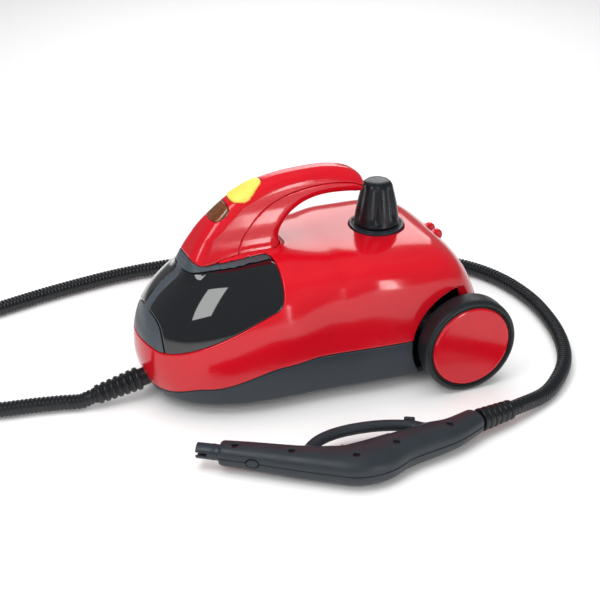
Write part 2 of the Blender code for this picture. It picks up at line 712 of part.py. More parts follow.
def tube_curve_mesh(name, points, radius, sides=2):
    return curve_to_mesh(tube_curve(name, points, radius, sides))


def make_cap(machine):
    here = (BOILER_X, 0, 0)
    inside, edge = NECK_RADIUS + GAP, COLLAR_RADIUS
    low, high = CAP_Z - 0.0070, CAP_Z - 0.0010
    piece("filler_collar", turned_mesh("filler_collar", [
        (inside, low), (edge, low), (edge, high - 0.0015), (edge - 0.0015, high), (inside, high)], 28),
        BASE_GREY, machine, here)
    lobes, sides = 6, 24
    levels = ((0.0, 1.0), (0.10, 1.02), (0.16, 0.99), (0.40, 0.93), (0.70, 0.80), (0.88, 0.69), (0.96, 0.62),
              (1.0, 0.50))
    rings = []
    for share, size in levels:
        ring = []
        for k in range(sides):
            angle = 2 * math.pi * k / sides
            groove = 0.055 * eased(share, ((0, 0.15), (0.25, 1), (0.85, 1), (1, 0.4)))
            reach = CAP_RADIUS * size * (1 - groove * (0.5 + 0.5 * math.cos(lobes * angle)) ** 3)
            ring.append(Vector((reach * math.cos(angle), reach * math.sin(angle), CAP_HEIGHT * share)))
        rings.append(ring)
    piece("cap_knob", loft_mesh("cap_knob", rings), BASE_GREY, machine, (BOILER_X, 0, CAP_Z))
    thread, ribs = NECK_BORE - 2 * GAP, 4
    profile = [(0, -GAP)]
    for k in range(ribs):
        h = -0.006 - k * CAP_PITCH
        profile += [(thread - 0.0010, h), (thread, h - CAP_PITCH * 0.35), (thread, h - CAP_PITCH * 0.65)]
    profile.insert(1, (thread - 0.0010, -GAP))
    profile += [(thread - 0.0010, -0.020), (0, -0.020)]
    piece("cap_core", turned_mesh("cap_core", profile, 16), BRASS, machine, (BOILER_X, 0, CAP_Z))
    seal = [(NECK_BORE - 0.0060, -0.0205), (NECK_BORE - 0.0010, -0.0205), (NECK_BORE - 0.0010, -0.0230),
            (NECK_BORE - 0.0060, -0.0230)]
    piece("cap_seal", turned_mesh("cap_seal", seal, 16), RUBBER, machine, (BOILER_X, 0, CAP_Z))


# ---------------------------------------------------------------- wheels
def make_wheels(machine):
    r, half = WHEEL_RADIUS, WHEEL_WIDTH / 2
    bore, seat = AXLE_RADIUS + GAP, WHEEL_RADIUS - TYRE_DEPTH
    tyre = [(seat, -half + 0.0005), (r - 0.0035, -half), (r - 0.0005, -half + 0.0025), (r, -half + 0.007),
            (r, half - 0.007), (r - 0.0005, half - 0.0025), (r - 0.0035, half), (seat, half - 0.0005)]
    lip = seat - GAP
    well = lip - RIM_LIP
    rim = [(lip, -half + 0.001), (lip, half - 0.0012), (well, half - 0.0012), (well, 0.002),
           (0.010, 0.002), (0.010, 0.005), (bore, 0.005), (bore, -half - 0.002), (0.010, -half - 0.002),
           (0.010, -0.001), (well, -0.001), (well, -half + 0.001)]
    edge = well - GAP
    disc = [(0, half - 0.0045), (edge - 0.004, half - 0.0035), (edge, half - 0.0052), (edge, half - 0.0006),
            (edge - 0.0015, half), (edge - 0.0035, half - 0.0012), (edge * 0.5, half - 0.0024),
            (0, half - 0.0028)]
    centre_y = WHEEL_OUTER_Y - half
    for side, way in (("left", -1), ("right", 1)):
        turn = (-way * math.pi / 2, 0, 0)
        here = (WHEEL_X, way * centre_y, r)
        piece("wheel_tyre_" + side, turned_mesh("wheel_tyre", tyre, 30), TYRE, machine, here, turn)
        piece("wheel_rim_" + side, turned_mesh("wheel_rim", rim, 20), BASE_GREY, machine, here, turn)
        piece("wheel_disc_" + side, turned_mesh("wheel_disc", disc, 20), RED, machine, here, turn)
        clip = [(AXLE_RADIUS + GAP, 0.0053), (0.0085, 0.0053), (0.0085, 0.0066), (AXLE_RADIUS + GAP, 0.0066)]
        piece("axle_clip_" + side, turned_mesh("axle_clip", clip, 12), STEEL, machine, here, turn)
    piece("rear_axle", rod_mesh("rear_axle", AXLE_RADIUS, 2 * (centre_y + 0.0075), 16), STEEL, machine,
          (WHEEL_X, 0, r), (math.pi / 2, 0, 0))


def make_caster(machine):
    cup, low, roof = CASTER_CUP, BASE_Z + 0.001, 0.0240
    here = (CASTER_X, 0, 0)
    stem, pin = 0.0030, 0.0015
    piece("caster_housing", turned_mesh("caster_housing", [
        (cup - 0.0015, low), (cup, low), (cup, roof), (stem + GAP, roof), (stem + GAP, roof - 0.0018),
        (cup - 0.0015, roof - 0.0018)], 20), BASE_GREY, machine, here)
    top, thick, cheek = 2 * CASTER_RADIUS + 0.0006, 0.0020, 0.0020
    inner = 0.0054
    fork = piece("caster_fork", box_mesh("caster_fork", (0.0185, 2 * (inner + cheek), thick),
                                         (-0.00175, 0, top + thick / 2)), STEEL, machine, here)
    stem_tool = cutter("caster_stem", rod_mesh("caster_stem", stem, 0.010, 16), machine,
                       (CASTER_X, 0, top + 0.0055))
    boolean(fork, stem_tool, "UNION")
    for side, way in (("left", -1), ("right", 1)):
        plate = cutter("caster_cheek_" + side,
                       box_mesh("caster_cheek", (0.008, cheek, top - 0.0050)), machine,
                       (CASTER_X - CASTER_TRAIL, way * (inner + cheek / 2 - 0.00002), top / 2 + 0.0034))
        boolean(fork, plate, "UNION")
    hole = cutter("caster_pin_hole", rod_mesh("caster_pin_hole", pin + GAP, 0.03, 12), machine,
                  (CASTER_X - CASTER_TRAIL, 0, CASTER_RADIUS), (math.pi / 2, 0, 0))
    boolean(fork, hole)
    at = (CASTER_X - CASTER_TRAIL, 0, CASTER_RADIUS)
    turn = (math.pi / 2, 0, 0)
    piece("caster_pin", rod_mesh("caster_pin", pin, 2 * (inner + cheek) + 0.001, 12), STEEL, machine, at, turn)
    half = inner - 0.0006
    wheel = [(pin + GAP, -half), (CASTER_RADIUS - 0.001, -half), (CASTER_RADIUS, -half + 0.001),
             (CASTER_RADIUS, half - 0.001), (CASTER_RADIUS - 0.001, half), (pin + GAP, half)]
    piece("caster_wheel", turned_mesh("caster_wheel", wheel, 24), TYRE, machine, at, turn)


# ---------------------------------------------------------------- glands
def make_glands(machine, tail_x):
    bore, ribs = 0.0045, 5
    inner, flange = -0.0136, -0.0112       # the flange sits behind the curved nose
    profile = [(bore, inner), (GLAND_NECK + 0.001, inner), (GLAND_NECK + 0.001, flange),
               (GLAND_NECK, flange), (GLAND_NECK, 0.0080)]
    start, end = 0.0080, 0.0080 + GLAND_LENGTH - 0.004
    step = (end - start) / ribs
    for k in range(ribs):
        r = GLAND_RADIUS - 0.0022 * k / (ribs - 1)
        h = start + k * step
        profile += [(r, h), (r, h + 0.62 * step), (r - 0.0013, h + 0.68 * step), (r - 0.0013, h + step)]
    profile += [(bore, end)]
    piece("hose_gland", turned_mesh("hose_gland", profile, 12), HOSE_GREY, machine, GLAND_AT, GLAND_TURN)
    hole = 0.0038
    small = [(hole, -0.0085), (CORD_NECK + 0.0025, -0.0085), (CORD_NECK + 0.0025, -0.0055),
             (CORD_NECK, -0.0055), (CORD_NECK, 0.0035), (CORD_NECK + 0.0025, 0.0035),
             (CORD_NECK + 0.0025, 0.0060), (CORD_NECK, 0.0075), (CORD_NECK - 0.001, 0.0160), (hole, 0.0160)]
    piece("mains_cord_gland", turned_mesh("mains_cord_gland", small, 14), HOSE_GREY, machine,
          (tail_x, 0, CORD_GLAND_Z), (0, math.pi / 2, 0))
    return end


# ---------------------------------------------------------------- steam gun
# Stations along the gun, nozzle first: x, y, half width in the plane of the bend, half thickness.
GUN_STATIONS = ((-0.159, 0.052, 0.0125, 0.0120), (-0.133, 0.035, 0.0140, 0.0130),
                (-0.090, 0.005, 0.0165, 0.0150), (-0.064, -0.010, 0.0195, 0.0160),
                (-0.039, -0.022, 0.0235, 0.0170), (-0.016, -0.023, 0.0235, 0.0174),
                (0.011, -0.015, 0.0205, 0.0170), (0.038, -0.011, 0.0190, 0.0162),
                (0.059, -0.008, 0.0185, 0.0150), (0.079, -0.005, 0.0165, 0.0138),
                (0.112, 0.007, 0.0135, 0.0118))
GUN_POWER = 2.5
GUN_STEPS = 13
GUARD_ROUTE = ((-0.080, 0.002), (-0.076, 0.018), (-0.061, 0.0315), (-0.042, 0.0385), (-0.022, 0.0402),
               (-0.002, 0.0385), (0.016, 0.0345), (0.034, 0.0275), (0.049, 0.0180), (0.056, 0.0030))
TRIGGER_PIVOT = (-0.0460, -0.0010)
TRIGGER_OUTLINE = ((-0.0520, -0.0040), (-0.0420, -0.0085), (-0.0300, -0.0115), (-0.0160, -0.0120),
                   (0.0000, -0.0095), (0.0120, -0.0060), (0.0160, 0.0000), (0.0160, 0.0100),
                   (0.0120, 0.0122), (0.0000, 0.0112), (-0.0190, 0.0096), (-0.0380, 0.0090),
                   (-0.0490, 0.0080), (-0.0520, 0.0040))
TRIGGER_HALF = 0.0050
LOCK_AT, LOCK_TURN = (0.0455, 0.0315), math.radians(-30)   # trigger lock on the guard
TRIGGER_SLOT = ((-0.0535, -0.0135), (0.0185, -0.0200), (0.0185, 0.0200), (-0.0535, 0.0200))
SCREW_SPOTS = ((-0.1460, 0.0415), (-0.098, 0.0075), (-0.042, -0.027), (0.005, -0.021), (0.072, -0.008))
GUN_TIP = 0.024                   # how far the nozzle socket stands out of the shells
SOCKET_HOLD = 0.008               # and how far it reaches into them
RELIEF_END = Vector((0.160, 0.0165, -0.0030))


def gun_sections(count, shrink=0.0):
    """Centre, in-plane normal, half width and half thickness along the gun."""
    last = len(GUN_STATIONS) - 1
    found = []
    for i in range(count + 1):
        place = last * i / count
        k = min(int(place), last - 1)
        t = place - k
        a, b, c, d = (Vector(GUN_STATIONS[min(max(k + j, 0), last)]) for j in (-1, 0, 1, 2))
        here = 0.5 * (2 * b + (c - a) * t + (2 * a - 5 * b + 4 * c - d) * t ** 2
                      + (3 * b - a - 3 * c + d) * t ** 3)
        way = 0.5 * ((c - a) + 2 * (2 * a - 5 * b + 4 * c - d) * t + 3 * (3 * b - a - 3 * c + d) * t ** 2)
        along = Vector((way[0], way[1], 0)).normalized()
        found.append((Vector((here[0], here[1], 0)), Vector((-along.y, along.x, 0)),
                      here[2] - shrink, here[3] - shrink))
    return found


def gun_top(x):
    """Height of the gun's upper face over its middle line at x."""
    knots = [(s[0], s[3]) for s in GUN_STATIONS]
    return eased(x, knots)


def half_section(centre, normal, wide, thick, way, points=6):
    """One side of an oval section; it meets the parting plane square on."""
    edge = (GAP / 2, 0.0014)
    ring = [centre + normal * wide + Z * way * z for z in edge]
    for k in range(1, points):
        a = math.pi * k / points
        y = math.copysign(abs(math.cos(a)) ** (2 / GUN_POWER), math.cos(a)) * wide
        z = math.sin(a) ** (2 / GUN_POWER) * thick
        ring.append(centre + normal * y + Z * way * z)
    return ring + [centre - normal * wide + Z * way * z for z in reversed(edge)]


def gun_shell(name, way, look, gun, tools):
    rings = [half_section(*section, way) for section in gun_sections(GUN_STEPS)]
    shape = bmesh.new()
    made = [[shape.verts.new(p) for p in ring] for ring in rings]
    for here, after in zip(made, made[1:]):
        for j in range(len(here) - 1):
            shape.faces.new((here[j], here[j + 1], after[j + 1], after[j]))
    bmesh.ops.recalc_face_normals(shape, faces=shape.faces)
    first = max(shape.faces, key=lambda f: f.calc_center_median().z * way)
    if first.normal.z * way < 0:
        bmesh.ops.reverse_faces(shape, faces=shape.faces)
    mesh = bpy.data.meshes.new(name)
    shape.to_mesh(mesh)
    shape.free()
    shell = piece(name, mesh, look, gun)
    solidify(shell, GUN_WALL)
    path = spaced(smooth_path([(x, y, 0) for x, y in GUARD_ROUTE], 6), 0.015)
    bar = []
    for k, spot in enumerate(path):
        along = (path[min(k + 1, len(path) - 1)] - path[max(k - 1, 0)]).normalized()
        bar.append(half_section(spot, Vector((-along.y, along.x, 0)), GUARD_RADIUS, GUARD_RADIUS, way, 4))
    guard = cutter(name + "_guard", loft_mesh("guard", bar), gun)
    boolean(shell, guard, "UNION")
    for tool in tools:
        boolean(shell, tool)
    return shell


def make_gun(gun):
    slot_rings = [[Vector((x, y, z)) for x, y in TRIGGER_SLOT]
                  for z in (-TRIGGER_HALF - 0.0005, TRIGGER_HALF + 0.0005)]
    slot = cutter("trigger_slot", loft_mesh("trigger_slot", slot_rings), gun)
    inner = gun_sections(GUN_STEPS, GUN_WALL)
    hollow_rings = [half_section(*s, 1) + list(reversed(half_section(*s, -1))) for s in inner[4:11]]
    hollow = cutter("gun_hollow", loft_mesh("gun_hollow", hollow_rings), gun)

    release_at = Vector((-0.128, 0.0315, 0))
    barrel = Vector((0.043, -0.029, 0)).normalized()
    out = Vector((barrel.y, -barrel.x, 0))
    release_turn = (math.pi / 2, 0, math.atan2(out.y, out.x) + math.pi / 2)
    release_face = 0.0140
    well = cutter("release_well", oval_mesh("release_well", 0.0065 + 2 * GAP, 0.0042 + 2 * GAP, 0.016), gun,
                  release_at + out * 0.0120, release_turn)
    pin_hole = cutter("trigger_pin_hole", rod_mesh("trigger_pin_hole", 0.0015 + GAP, 0.060, 14), gun,
                      (*TRIGGER_PIVOT, 0))

    screw_tools = []
    for k, (x, y) in enumerate(SCREW_SPOTS):
        screw_tools.append(cutter(f"gun_screw_well_{k + 1}",
                                  rod_mesh("gun_screw_well", SCREW_RADIUS + GAP, 0.030, 14), gun,
                                  (x, y, 0.020)))
    gun_shell("gun_shell_upper", 1, GUN_GREY, gun, (hollow, slot, well, pin_hole, *screw_tools))
    gun_shell("gun_shell_lower", -1, GUN_GREY, gun, (hollow, slot, well, pin_hole))
    for k, (x, y) in enumerate(SCREW_SPOTS):
        high = gun_top(x) - 0.0022
        piece(f"gun_screw_{k + 1}", rod_mesh("gun_screw", SCREW_RADIUS, high - 0.0060, 14), STEEL, gun,
              (x, y, (high + 0.0060) / 2))

    trigger_rings = [[Vector((x - TRIGGER_PIVOT[0], y - TRIGGER_PIVOT[1], z)) for x, y in TRIGGER_OUTLINE]
                     for z in (-TRIGGER_HALF, TRIGGER_HALF)]
    trigger = piece("gun_trigger", loft_mesh("gun_trigger", trigger_rings), BASE_GREY, gun,
                    (*TRIGGER_PIVOT, 0))
    bore = cutter("trigger_bore", rod_mesh("trigger_bore", 0.0015 + GAP, 0.020, 14), gun, (*TRIGGER_PIVOT, 0))
    boolean(trigger, bore)
    piece("trigger_pin", rod_mesh("trigger_pin", 0.0015, 0.026, 14), STEEL, gun, (*TRIGGER_PIVOT, 0))
    turns, wire = 3, 0.0005
    coil = [Vector((-0.020 + 0.0026 * math.cos(a), -0.0128 - 0.0080 * a / (2 * math.pi * turns),
                    0.0026 * math.sin(a))) for a in (2 * math.pi * k / 8 for k in range(8 * turns + 1))]
    piece("trigger_spring", tube_curve_mesh("trigger_spring", coil, wire, 1), STEEL, gun)
    micro = piece("micro_switch", box_mesh("micro_switch", (0.014, 0.008, 0.007)), WHITE, gun,
                  (0.004, -0.0250, 0))
    bevel(micro, 0.0006)
    lock = piece("trigger_lock", box_mesh("trigger_lock", (0.012, 0.0055, 0.0100)), GUN_GREY, gun,
                 (*LOCK_AT, 0), (0, 0, LOCK_TURN))
    bevel(lock, 0.0015, 2)

    barrel_turn = (0, math.pi / 2, math.atan2(-barrel.y, -barrel.x))
    mouth = Vector((GUN_STATIONS[0][0], GUN_STATIONS[0][1], 0))
    socket = piece("nozzle_socket", turned_mesh("nozzle_socket", [
        (0.0060, -SOCKET_HOLD), (0.0088, -SOCKET_HOLD), (0.0088, GUN_TIP - 0.001), (0.0080, GUN_TIP),
        (0.0060, GUN_TIP)], 24), BASE_GREY, gun, mouth, barrel_turn)
    notch = cutter("socket_notch", box_mesh("socket_notch", (0.0036, 0.030, 0.013)), gun,
                   mouth - barrel * (GUN_TIP - 0.0055), barrel_turn)
    boolean(socket, notch)
    piece("nozzle_release", oval_mesh("nozzle_release", 0.0065, 0.0042, 0.0060), BASE_GREY, gun,
          release_at + out * (release_face + 0.0012 - 0.0030), release_turn)

    feed = smooth_path([mouth + barrel * (SOCKET_HOLD + 0.0010) + Vector((0, 0, -0.0030)), (-0.120, 0.0260, -0.0070),
                        (-0.085, 0.0010, -0.0095), (-0.040, -0.020, -0.0105), (-0.005, -0.022, -0.0105),
                        (0.040, -0.012, -0.0095), (0.075, -0.006, -0.0070), (0.100, 0.001, -0.0030)], 3)
    piece("gun_steam_tube", tube_curve_mesh("gun_steam_tube", feed, 0.0022), BRASS, gun)

    start = Vector((0.1020, 0.0030, 0))
    way = (RELIEF_END - start).normalized()
    length = (RELIEF_END - start).length
    relief = [(0.0040, 0.0), (0.0075, 0.0), (0.0075, 0.0130)]
    first, ribs = 0.0125, 4
    step = (length - first) / ribs
    for k in range(ribs):
        r = 0.0125 - 0.0017 * k / (ribs - 1)
        h = first + 0.0010 + k * step
        relief += [(r, h), (r, h + 0.55 * step), (r - 0.0016, h + 0.62 * step), (r - 0.0016, h + step - 0.0005)]
    relief[-1] = (relief[-1][0], length)
    relief += [(0.0040, length)]
    turn = way.to_track_quat("Z", "Y").to_euler()
    piece("gun_strain_relief", turned_mesh("gun_strain_relief", relief, 12), HOSE_GREY, gun, start, turn)
    return way


def oval_mesh(name, long_radius, short_radius, depth):
    """An oval plate: long radius along local X, short along local Y, thickness along local Z."""
    shape = bmesh.new()
    bmesh.ops.create_cone(shape, cap_ends=True, segments=20, radius1=1, radius2=1, depth=depth)
    bmesh.ops.scale(shape, vec=(long_radius, short_radius, 1), verts=shape.verts)
    return to_mesh(name, shape)


# ---------------------------------------------------------------- hose
# The route over the floor after the gland, in the machine's frame, chosen by hand.
HOSE_ROUTE = ((-0.280, 0.002), (-0.300, 0.007), (-0.330, 0.013), (-0.364, 0.018), (-0.402, 0.027),
              (-0.437, 0.047), (-0.461, 0.080), (-0.470, 0.121), (-0.461, 0.164), (-0.434, 0.201),
              (-0.395, 0.224), (-0.353, 0.236), (-0.312, 0.245), (-0.259, 0.258), (-0.206, 0.268),
              (-0.153, 0.275), (-0.100, 0.276), (-0.040, 0.270), (0.030, 0.254), (0.100, 0.229),
              (0.165, 0.196), (0.222, 0.162), (0.258, 0.128), (0.281, 0.080), (0.289, 0.021),
              (0.282, -0.040), (0.267, -0.090), (0.247, -0.127), (0.220, -0.157), (0.190, -0.179))
HOSE_REST = HOSE_RADIUS + 0.0007  # middle line of the hose over the floor


def make_hose(machine, gland_end, relief_way):
    start = GLAND_AT + GLAND_WAY * (gland_end + GAP)
    finish = RELIEF_END + Vector(GUN_AT) - Vector(MACHINE_AT) + relief_way * GAP
    straight = 0.006              # each end leaves its fitting square on
    route = [start + GLAND_WAY * straight]
    route += [(x, y, HOSE_REST) for x, y in HOSE_ROUTE]
    route += [finish + relief_way * straight]
    path = [start, *spaced(smooth_path(route, 12), 0.021), finish]
    hose = bpy.data.objects.new("steam_hose", tube_curve("steam_hose", path, HOSE_RADIUS, 2))
    hose.data.materials.append(material("steam_hose_finish", HOSE_GREY))
    groups["steam_cleaner"].objects.link(hose)
    hose.parent = machine


def main():
    clear_scene()
    machine = empty("machine_frame", MACHINE_AT)
    gun = empty("gun_frame", GUN_AT)
    tail_x = make_casings(machine)
    make_handle(machine)
    make_boiler(machine)
    make_cap(machine)
    make_wheels(machine)
    make_caster(machine)
    gland_end = make_glands(machine, tail_x)
    relief_way = make_gun(gun)
    make_hose(machine, gland_end, relief_way)


main()
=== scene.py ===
"""Looks for the canister steam cleaner: fine surfaces, materials, floor, light and camera."""
import math

import bmesh
import bpy
import numpy as np
from mathutils import Matrix, Vector


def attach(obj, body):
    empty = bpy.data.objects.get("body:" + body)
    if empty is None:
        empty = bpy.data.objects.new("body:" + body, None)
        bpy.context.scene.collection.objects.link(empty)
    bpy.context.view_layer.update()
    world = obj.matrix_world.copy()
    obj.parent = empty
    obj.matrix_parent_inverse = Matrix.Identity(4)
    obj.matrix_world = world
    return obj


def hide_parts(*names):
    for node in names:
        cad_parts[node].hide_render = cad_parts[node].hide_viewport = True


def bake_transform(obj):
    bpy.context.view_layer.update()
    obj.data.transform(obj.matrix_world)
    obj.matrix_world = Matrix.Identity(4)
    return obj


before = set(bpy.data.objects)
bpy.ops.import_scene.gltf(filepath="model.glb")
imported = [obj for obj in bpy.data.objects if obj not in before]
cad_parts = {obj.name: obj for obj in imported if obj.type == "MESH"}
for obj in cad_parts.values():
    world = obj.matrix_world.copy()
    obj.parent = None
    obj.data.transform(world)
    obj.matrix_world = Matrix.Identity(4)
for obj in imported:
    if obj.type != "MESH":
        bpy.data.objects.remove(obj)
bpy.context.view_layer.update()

# Shapes are worked out in millimetres in each group's own frame, then moved into the shared frame.
MM = 0.001
MACHINE = np.array((34.9, 68.3, 0.0))
GUN = np.array((14.9, -146.7, 18.0))
FINE = 1.5        # spacing of the surface grid, in mm
HAIR = 0.25                                  # half the hairline between neighbouring mouldings, in mm


# ---------------------------------------------------------------- materials
def shader_material(name, colour, roughness, metallic=0.0, coat=0.0, coat_rough=0.03, ior=1.5,
                    tint=0.0, tint_scale=30.0, rough_range=0.0, rough_scale=60.0,
                    bump=0.0, bump_scale=900.0, bump_detail=3.0, orange=0.0, orange_scale=160.0):
    """A Principled material with fine colour drift, roughness drift and surface texture."""
    made = bpy.data.materials.new(name)
    made.use_nodes = True
    nodes, links = made.node_tree.nodes, made.node_tree.links
    shader = nodes["Principled BSDF"]
    shader.inputs["Base Color"].default_value = (*colour, 1)
    shader.inputs["Roughness"].default_value = roughness
    shader.inputs["Metallic"].default_value = metallic
    shader.inputs["IOR"].default_value = ior
    if coat:
        shader.inputs["Coat Weight"].default_value = coat
        shader.inputs["Coat Roughness"].default_value = coat_rough
    place = nodes.new("ShaderNodeTexCoord")

    def noise(scale, detail=2.0):
        made_noise = nodes.new("ShaderNodeTexNoise")
        made_noise.inputs["Scale"].default_value = scale
        made_noise.inputs["Detail"].default_value = detail
        links.new(place.outputs["Object"], made_noise.inputs["Vector"])
        return made_noise

    def spread(source, low, high):
        made_range = nodes.new("ShaderNodeMapRange")
        made_range.inputs["From Min"].default_value = 0.3
        made_range.inputs["From Max"].default_value = 0.7
        made_range.inputs["To Min"].default_value = low
        made_range.inputs["To Max"].default_value = high
        links.new(source.outputs["Fac"], made_range.inputs["Value"])
        return made_range

    if tint:
        mix = nodes.new("ShaderNodeMix")
        mix.data_type = "RGBA"
        mix.inputs["A"].default_value = (*[c * (1 - tint) for c in colour], 1)
        mix.inputs["B"].default_value = (*[min(1, c * (1 + tint)) for c in colour], 1)
        links.new(spread(noise(tint_scale), 0, 1).outputs["Result"], mix.inputs["Factor"])
        links.new(mix.outputs["Result"], shader.inputs["Base Color"])
    if rough_range:
        drift = spread(noise(rough_scale, 4.0), max(0.02, roughness - rough_range),
                       roughness + rough_range)
        links.new(drift.outputs["Result"], shader.inputs["Roughness"])
    normal = None
    for strength, scale, detail, depth in ((orange, orange_scale, 1.0, 0.0004),
                                           (bump, bump_scale, bump_detail, 0.0002)):
        if strength:
            texture = nodes.new("ShaderNodeBump")
            texture.inputs["Strength"].default_value = strength
            texture.inputs["Distance"].default_value = depth
            links.new(noise(scale, detail).outputs["Fac"], texture.inputs["Height"])
            if normal:
                links.new(normal.outputs["Normal"], texture.inputs["Normal"])
            normal = texture
    if normal:
        links.new(normal.outputs["Normal"], shader.inputs["Normal"])
    return made


RED = shader_material("red_gloss_plastic", (0.52, 0.0035, 0.012), 0.14, ior=1.46, coat=0.12,
                      coat_rough=0.04, tint=0.05, tint_scale=14, rough_range=0.03, orange=0.025,
                      orange_scale=110, bump=0.02)
BLACK = shader_material("black_gloss_window", (0.0040, 0.0050, 0.0070), 0.05, coat=0.7,
                        coat_rough=0.02, tint=0.10, rough_range=0.012, orange=0.012,
                        orange_scale=90)
RIM = shader_material("visor_frame_satin", (0.050, 0.064, 0.076), 0.32, ior=1.45, tint=0.08,
                      rough_range=0.06, bump=0.12, bump_scale=1400)
BASE = shader_material("base_satin_plastic", (0.018, 0.025, 0.034), 0.34, ior=1.42, tint=0.08,
                       rough_range=0.06, bump=0.14, bump_scale=1300)
CAP = shader_material("cap_satin_plastic", (0.0055, 0.0075, 0.0100), 0.30, ior=1.42, tint=0.10,
                      rough_range=0.05, bump=0.12, bump_scale=1300)
TYRE = shader_material("tyre_rubber", (0.0075, 0.0105, 0.0125), 0.42, ior=1.42, tint=0.12,
                       rough_range=0.08, bump=0.22, bump_scale=1000)
HOSE = shader_material("hose_plastic", (0.0065, 0.0080, 0.0100), 0.30, ior=1.44, tint=0.12,
                       rough_range=0.06, bump=0.12, bump_scale=1500)
GREY = shader_material("gun_grained_plastic", (0.0200, 0.0255, 0.0315), 0.40, ior=1.42, tint=0.08,
                       rough_range=0.06, bump=0.22, bump_scale=1500, bump_detail=2)
YELLOW = shader_material("yellow_plastic", (0.93, 0.64, 0.10), 0.36, tint=0.03, rough_range=0.05,
                         bump=0.06, bump_scale=1500)
AMBER = shader_material("amber_lens", (0.13, 0.035, 0.006), 0.12, coat=0.7, coat_rough=0.03,
                        tint=0.3, tint_scale=160, rough_range=0.03)
STEEL = shader_material("brushed_steel", (0.60, 0.60, 0.60), 0.30, metallic=1.0, tint=0.05,
                        rough_range=0.08, bump=0.15, bump_scale=800)
DARK_STEEL = shader_material("blackened_screw", (0.10, 0.10, 0.11), 0.38, metallic=1.0, tint=0.1,
                             rough_range=0.08)
BRASS = shader_material("brass", (0.60, 0.42, 0.16), 0.32, metallic=1.0, tint=0.08,
                        rough_range=0.08)
RUBBER = shader_material("seal_rubber", (0.018, 0.018, 0.018), 0.75, tint=0.1, rough_range=0.08,
                         bump=0.2)
BOARD = shader_material("circuit_board", (0.02, 0.10, 0.04), 0.45, tint=0.2, tint_scale=300,
                        rough_range=0.1)
WHITE = shader_material("white_moulding", (0.72, 0.71, 0.67), 0.50, tint=0.03, rough_range=0.06,
                        bump=0.1)

CAD_LOOKS = {
    RED: (), BLACK: ("solenoid_coil",), BASE: ("caster_housing", "gun_trigger"),
    TYRE: ("caster_wheel",), HOSE: ("mains_cord_gland",),
    STEEL: ("boiler_lower", "boiler_upper", "heating_element", "boiler_bracket_left",
            "boiler_bracket_right", "axle_clip_left", "axle_clip_right", "rear_axle", "caster_fork",
            "caster_pin", "trigger_pin", "trigger_spring"),
    DARK_STEEL: tuple(f"gun_screw_{k}" for k in range(1, 6)),
    BRASS: ("relief_valve", "solenoid_valve", "steam_pipe_rise", "steam_pipe_run", "cap_core",
            "gun_steam_tube"),
    RUBBER: ("cap_seal",), BOARD: ("control_board",),
    WHITE: ("switch_module", "thermostat", "pressure_switch", "terminal_block", "micro_switch"),
}
for look, names in CAD_LOOKS.items():
    for node_name in names:
        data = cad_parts[node_name].data
        data.materials.clear()
        data.materials.append(look)


# ---------------------------------------------------------------- signed fields
def rounded_max(a, b, reach):
    h = np.maximum(reach - np.abs(a - b), 0) / reach
    return np.maximum(a, b) + h * h * reach / 4


def rounded_min(a, b, reach):
    return -rounded_max(-a, -b, reach)


def eased(value, knots):
    """A smooth blend between (position, value) knots, on arrays."""
    found = np.full(np.shape(value), float(knots[0][1]))
    for (x0, y0), (x1, y1) in zip(knots, knots[1:]):
        t = np.clip((value - x0) / (x1 - x0), 0, 1)
        found = found + (y1 - y0) * t * t * (3 - 2 * t)
    return found


def catmull(points, per_span, closed=False):
    """Points along a Catmull-Rom curve through the given ones."""
    p = np.array(points, float)
    if closed:
        q = np.vstack((p[-1:], p, p[:2]))
    else:
        q = np.vstack((2 * p[:1] - p[1:2], p, 2 * p[-1:] - p[-2:-1]))
    found = []
    for a, b, c, d in zip(q, q[1:], q[2:], q[3:]):
        for t in np.linspace(0, 1, per_span, endpoint=False):
            found.append(0.5 * (2 * b + (c - a) * t + (2 * a - 5 * b + 4 * c - d) * t ** 2
                                + (3 * b - a - 3 * c + d) * t ** 3))
    if not closed:
        found.append(p[-1])
    return np.array(found)


def chaikin(points, rounds):
    """The closed outline with its corners cut, round after round."""
    p = np.array(points, float)
    for _ in range(rounds):
        q = np.roll(p, -1, axis=0)
        p = np.stack((0.75 * p + 0.25 * q, 0.25 * p + 0.75 * q), 1).reshape(-1, 2)
    return p


def outline_field(u, v, outline):
    """Signed distance to a closed flat outline: negative inside."""
    u, v = np.broadcast_arrays(u, v)
    best = np.full(u.shape, 1e18)
    sign = np.ones(u.shape)
    for a, b in zip(outline, np.roll(outline, 1, axis=0)):
        e = b - a
        du, dv = u - a[0], v - a[1]
        t = np.clip((du * e[0] + dv * e[1]) / max(1e-12, e @ e), 0, 1)
        best = np.minimum(best, (du - e[0] * t) ** 2 + (dv - e[1] * t) ** 2)
        above, below, left = v >= a[1], v < b[1], e[0] * dv > e[1] * du
        sign = np.where((above & below & left) | (~above & ~below & ~left), -sign, sign)
    return sign * np.sqrt(best)


# The widest height, half the width there, and the rise above it.
BELT, HALF_WIDTH, CROWN_HIGH = 60, 93, 100
SECTION_POWER = ((-180, 2.35), (-70, 2.9), (-10, 4.5), (30, 5.8), (90, 5.6), (150, 4.4))
FLANK_RISE = ((-60, 0), (80, 9))
DECK_RISE = ((-120, 6), (-60, 4), (0, 1), (70, -1), (150, -4))
SEAM_RISE = ((-205, -36), (-160, -23), (-75, -3), (-30, 2), (140, 2))


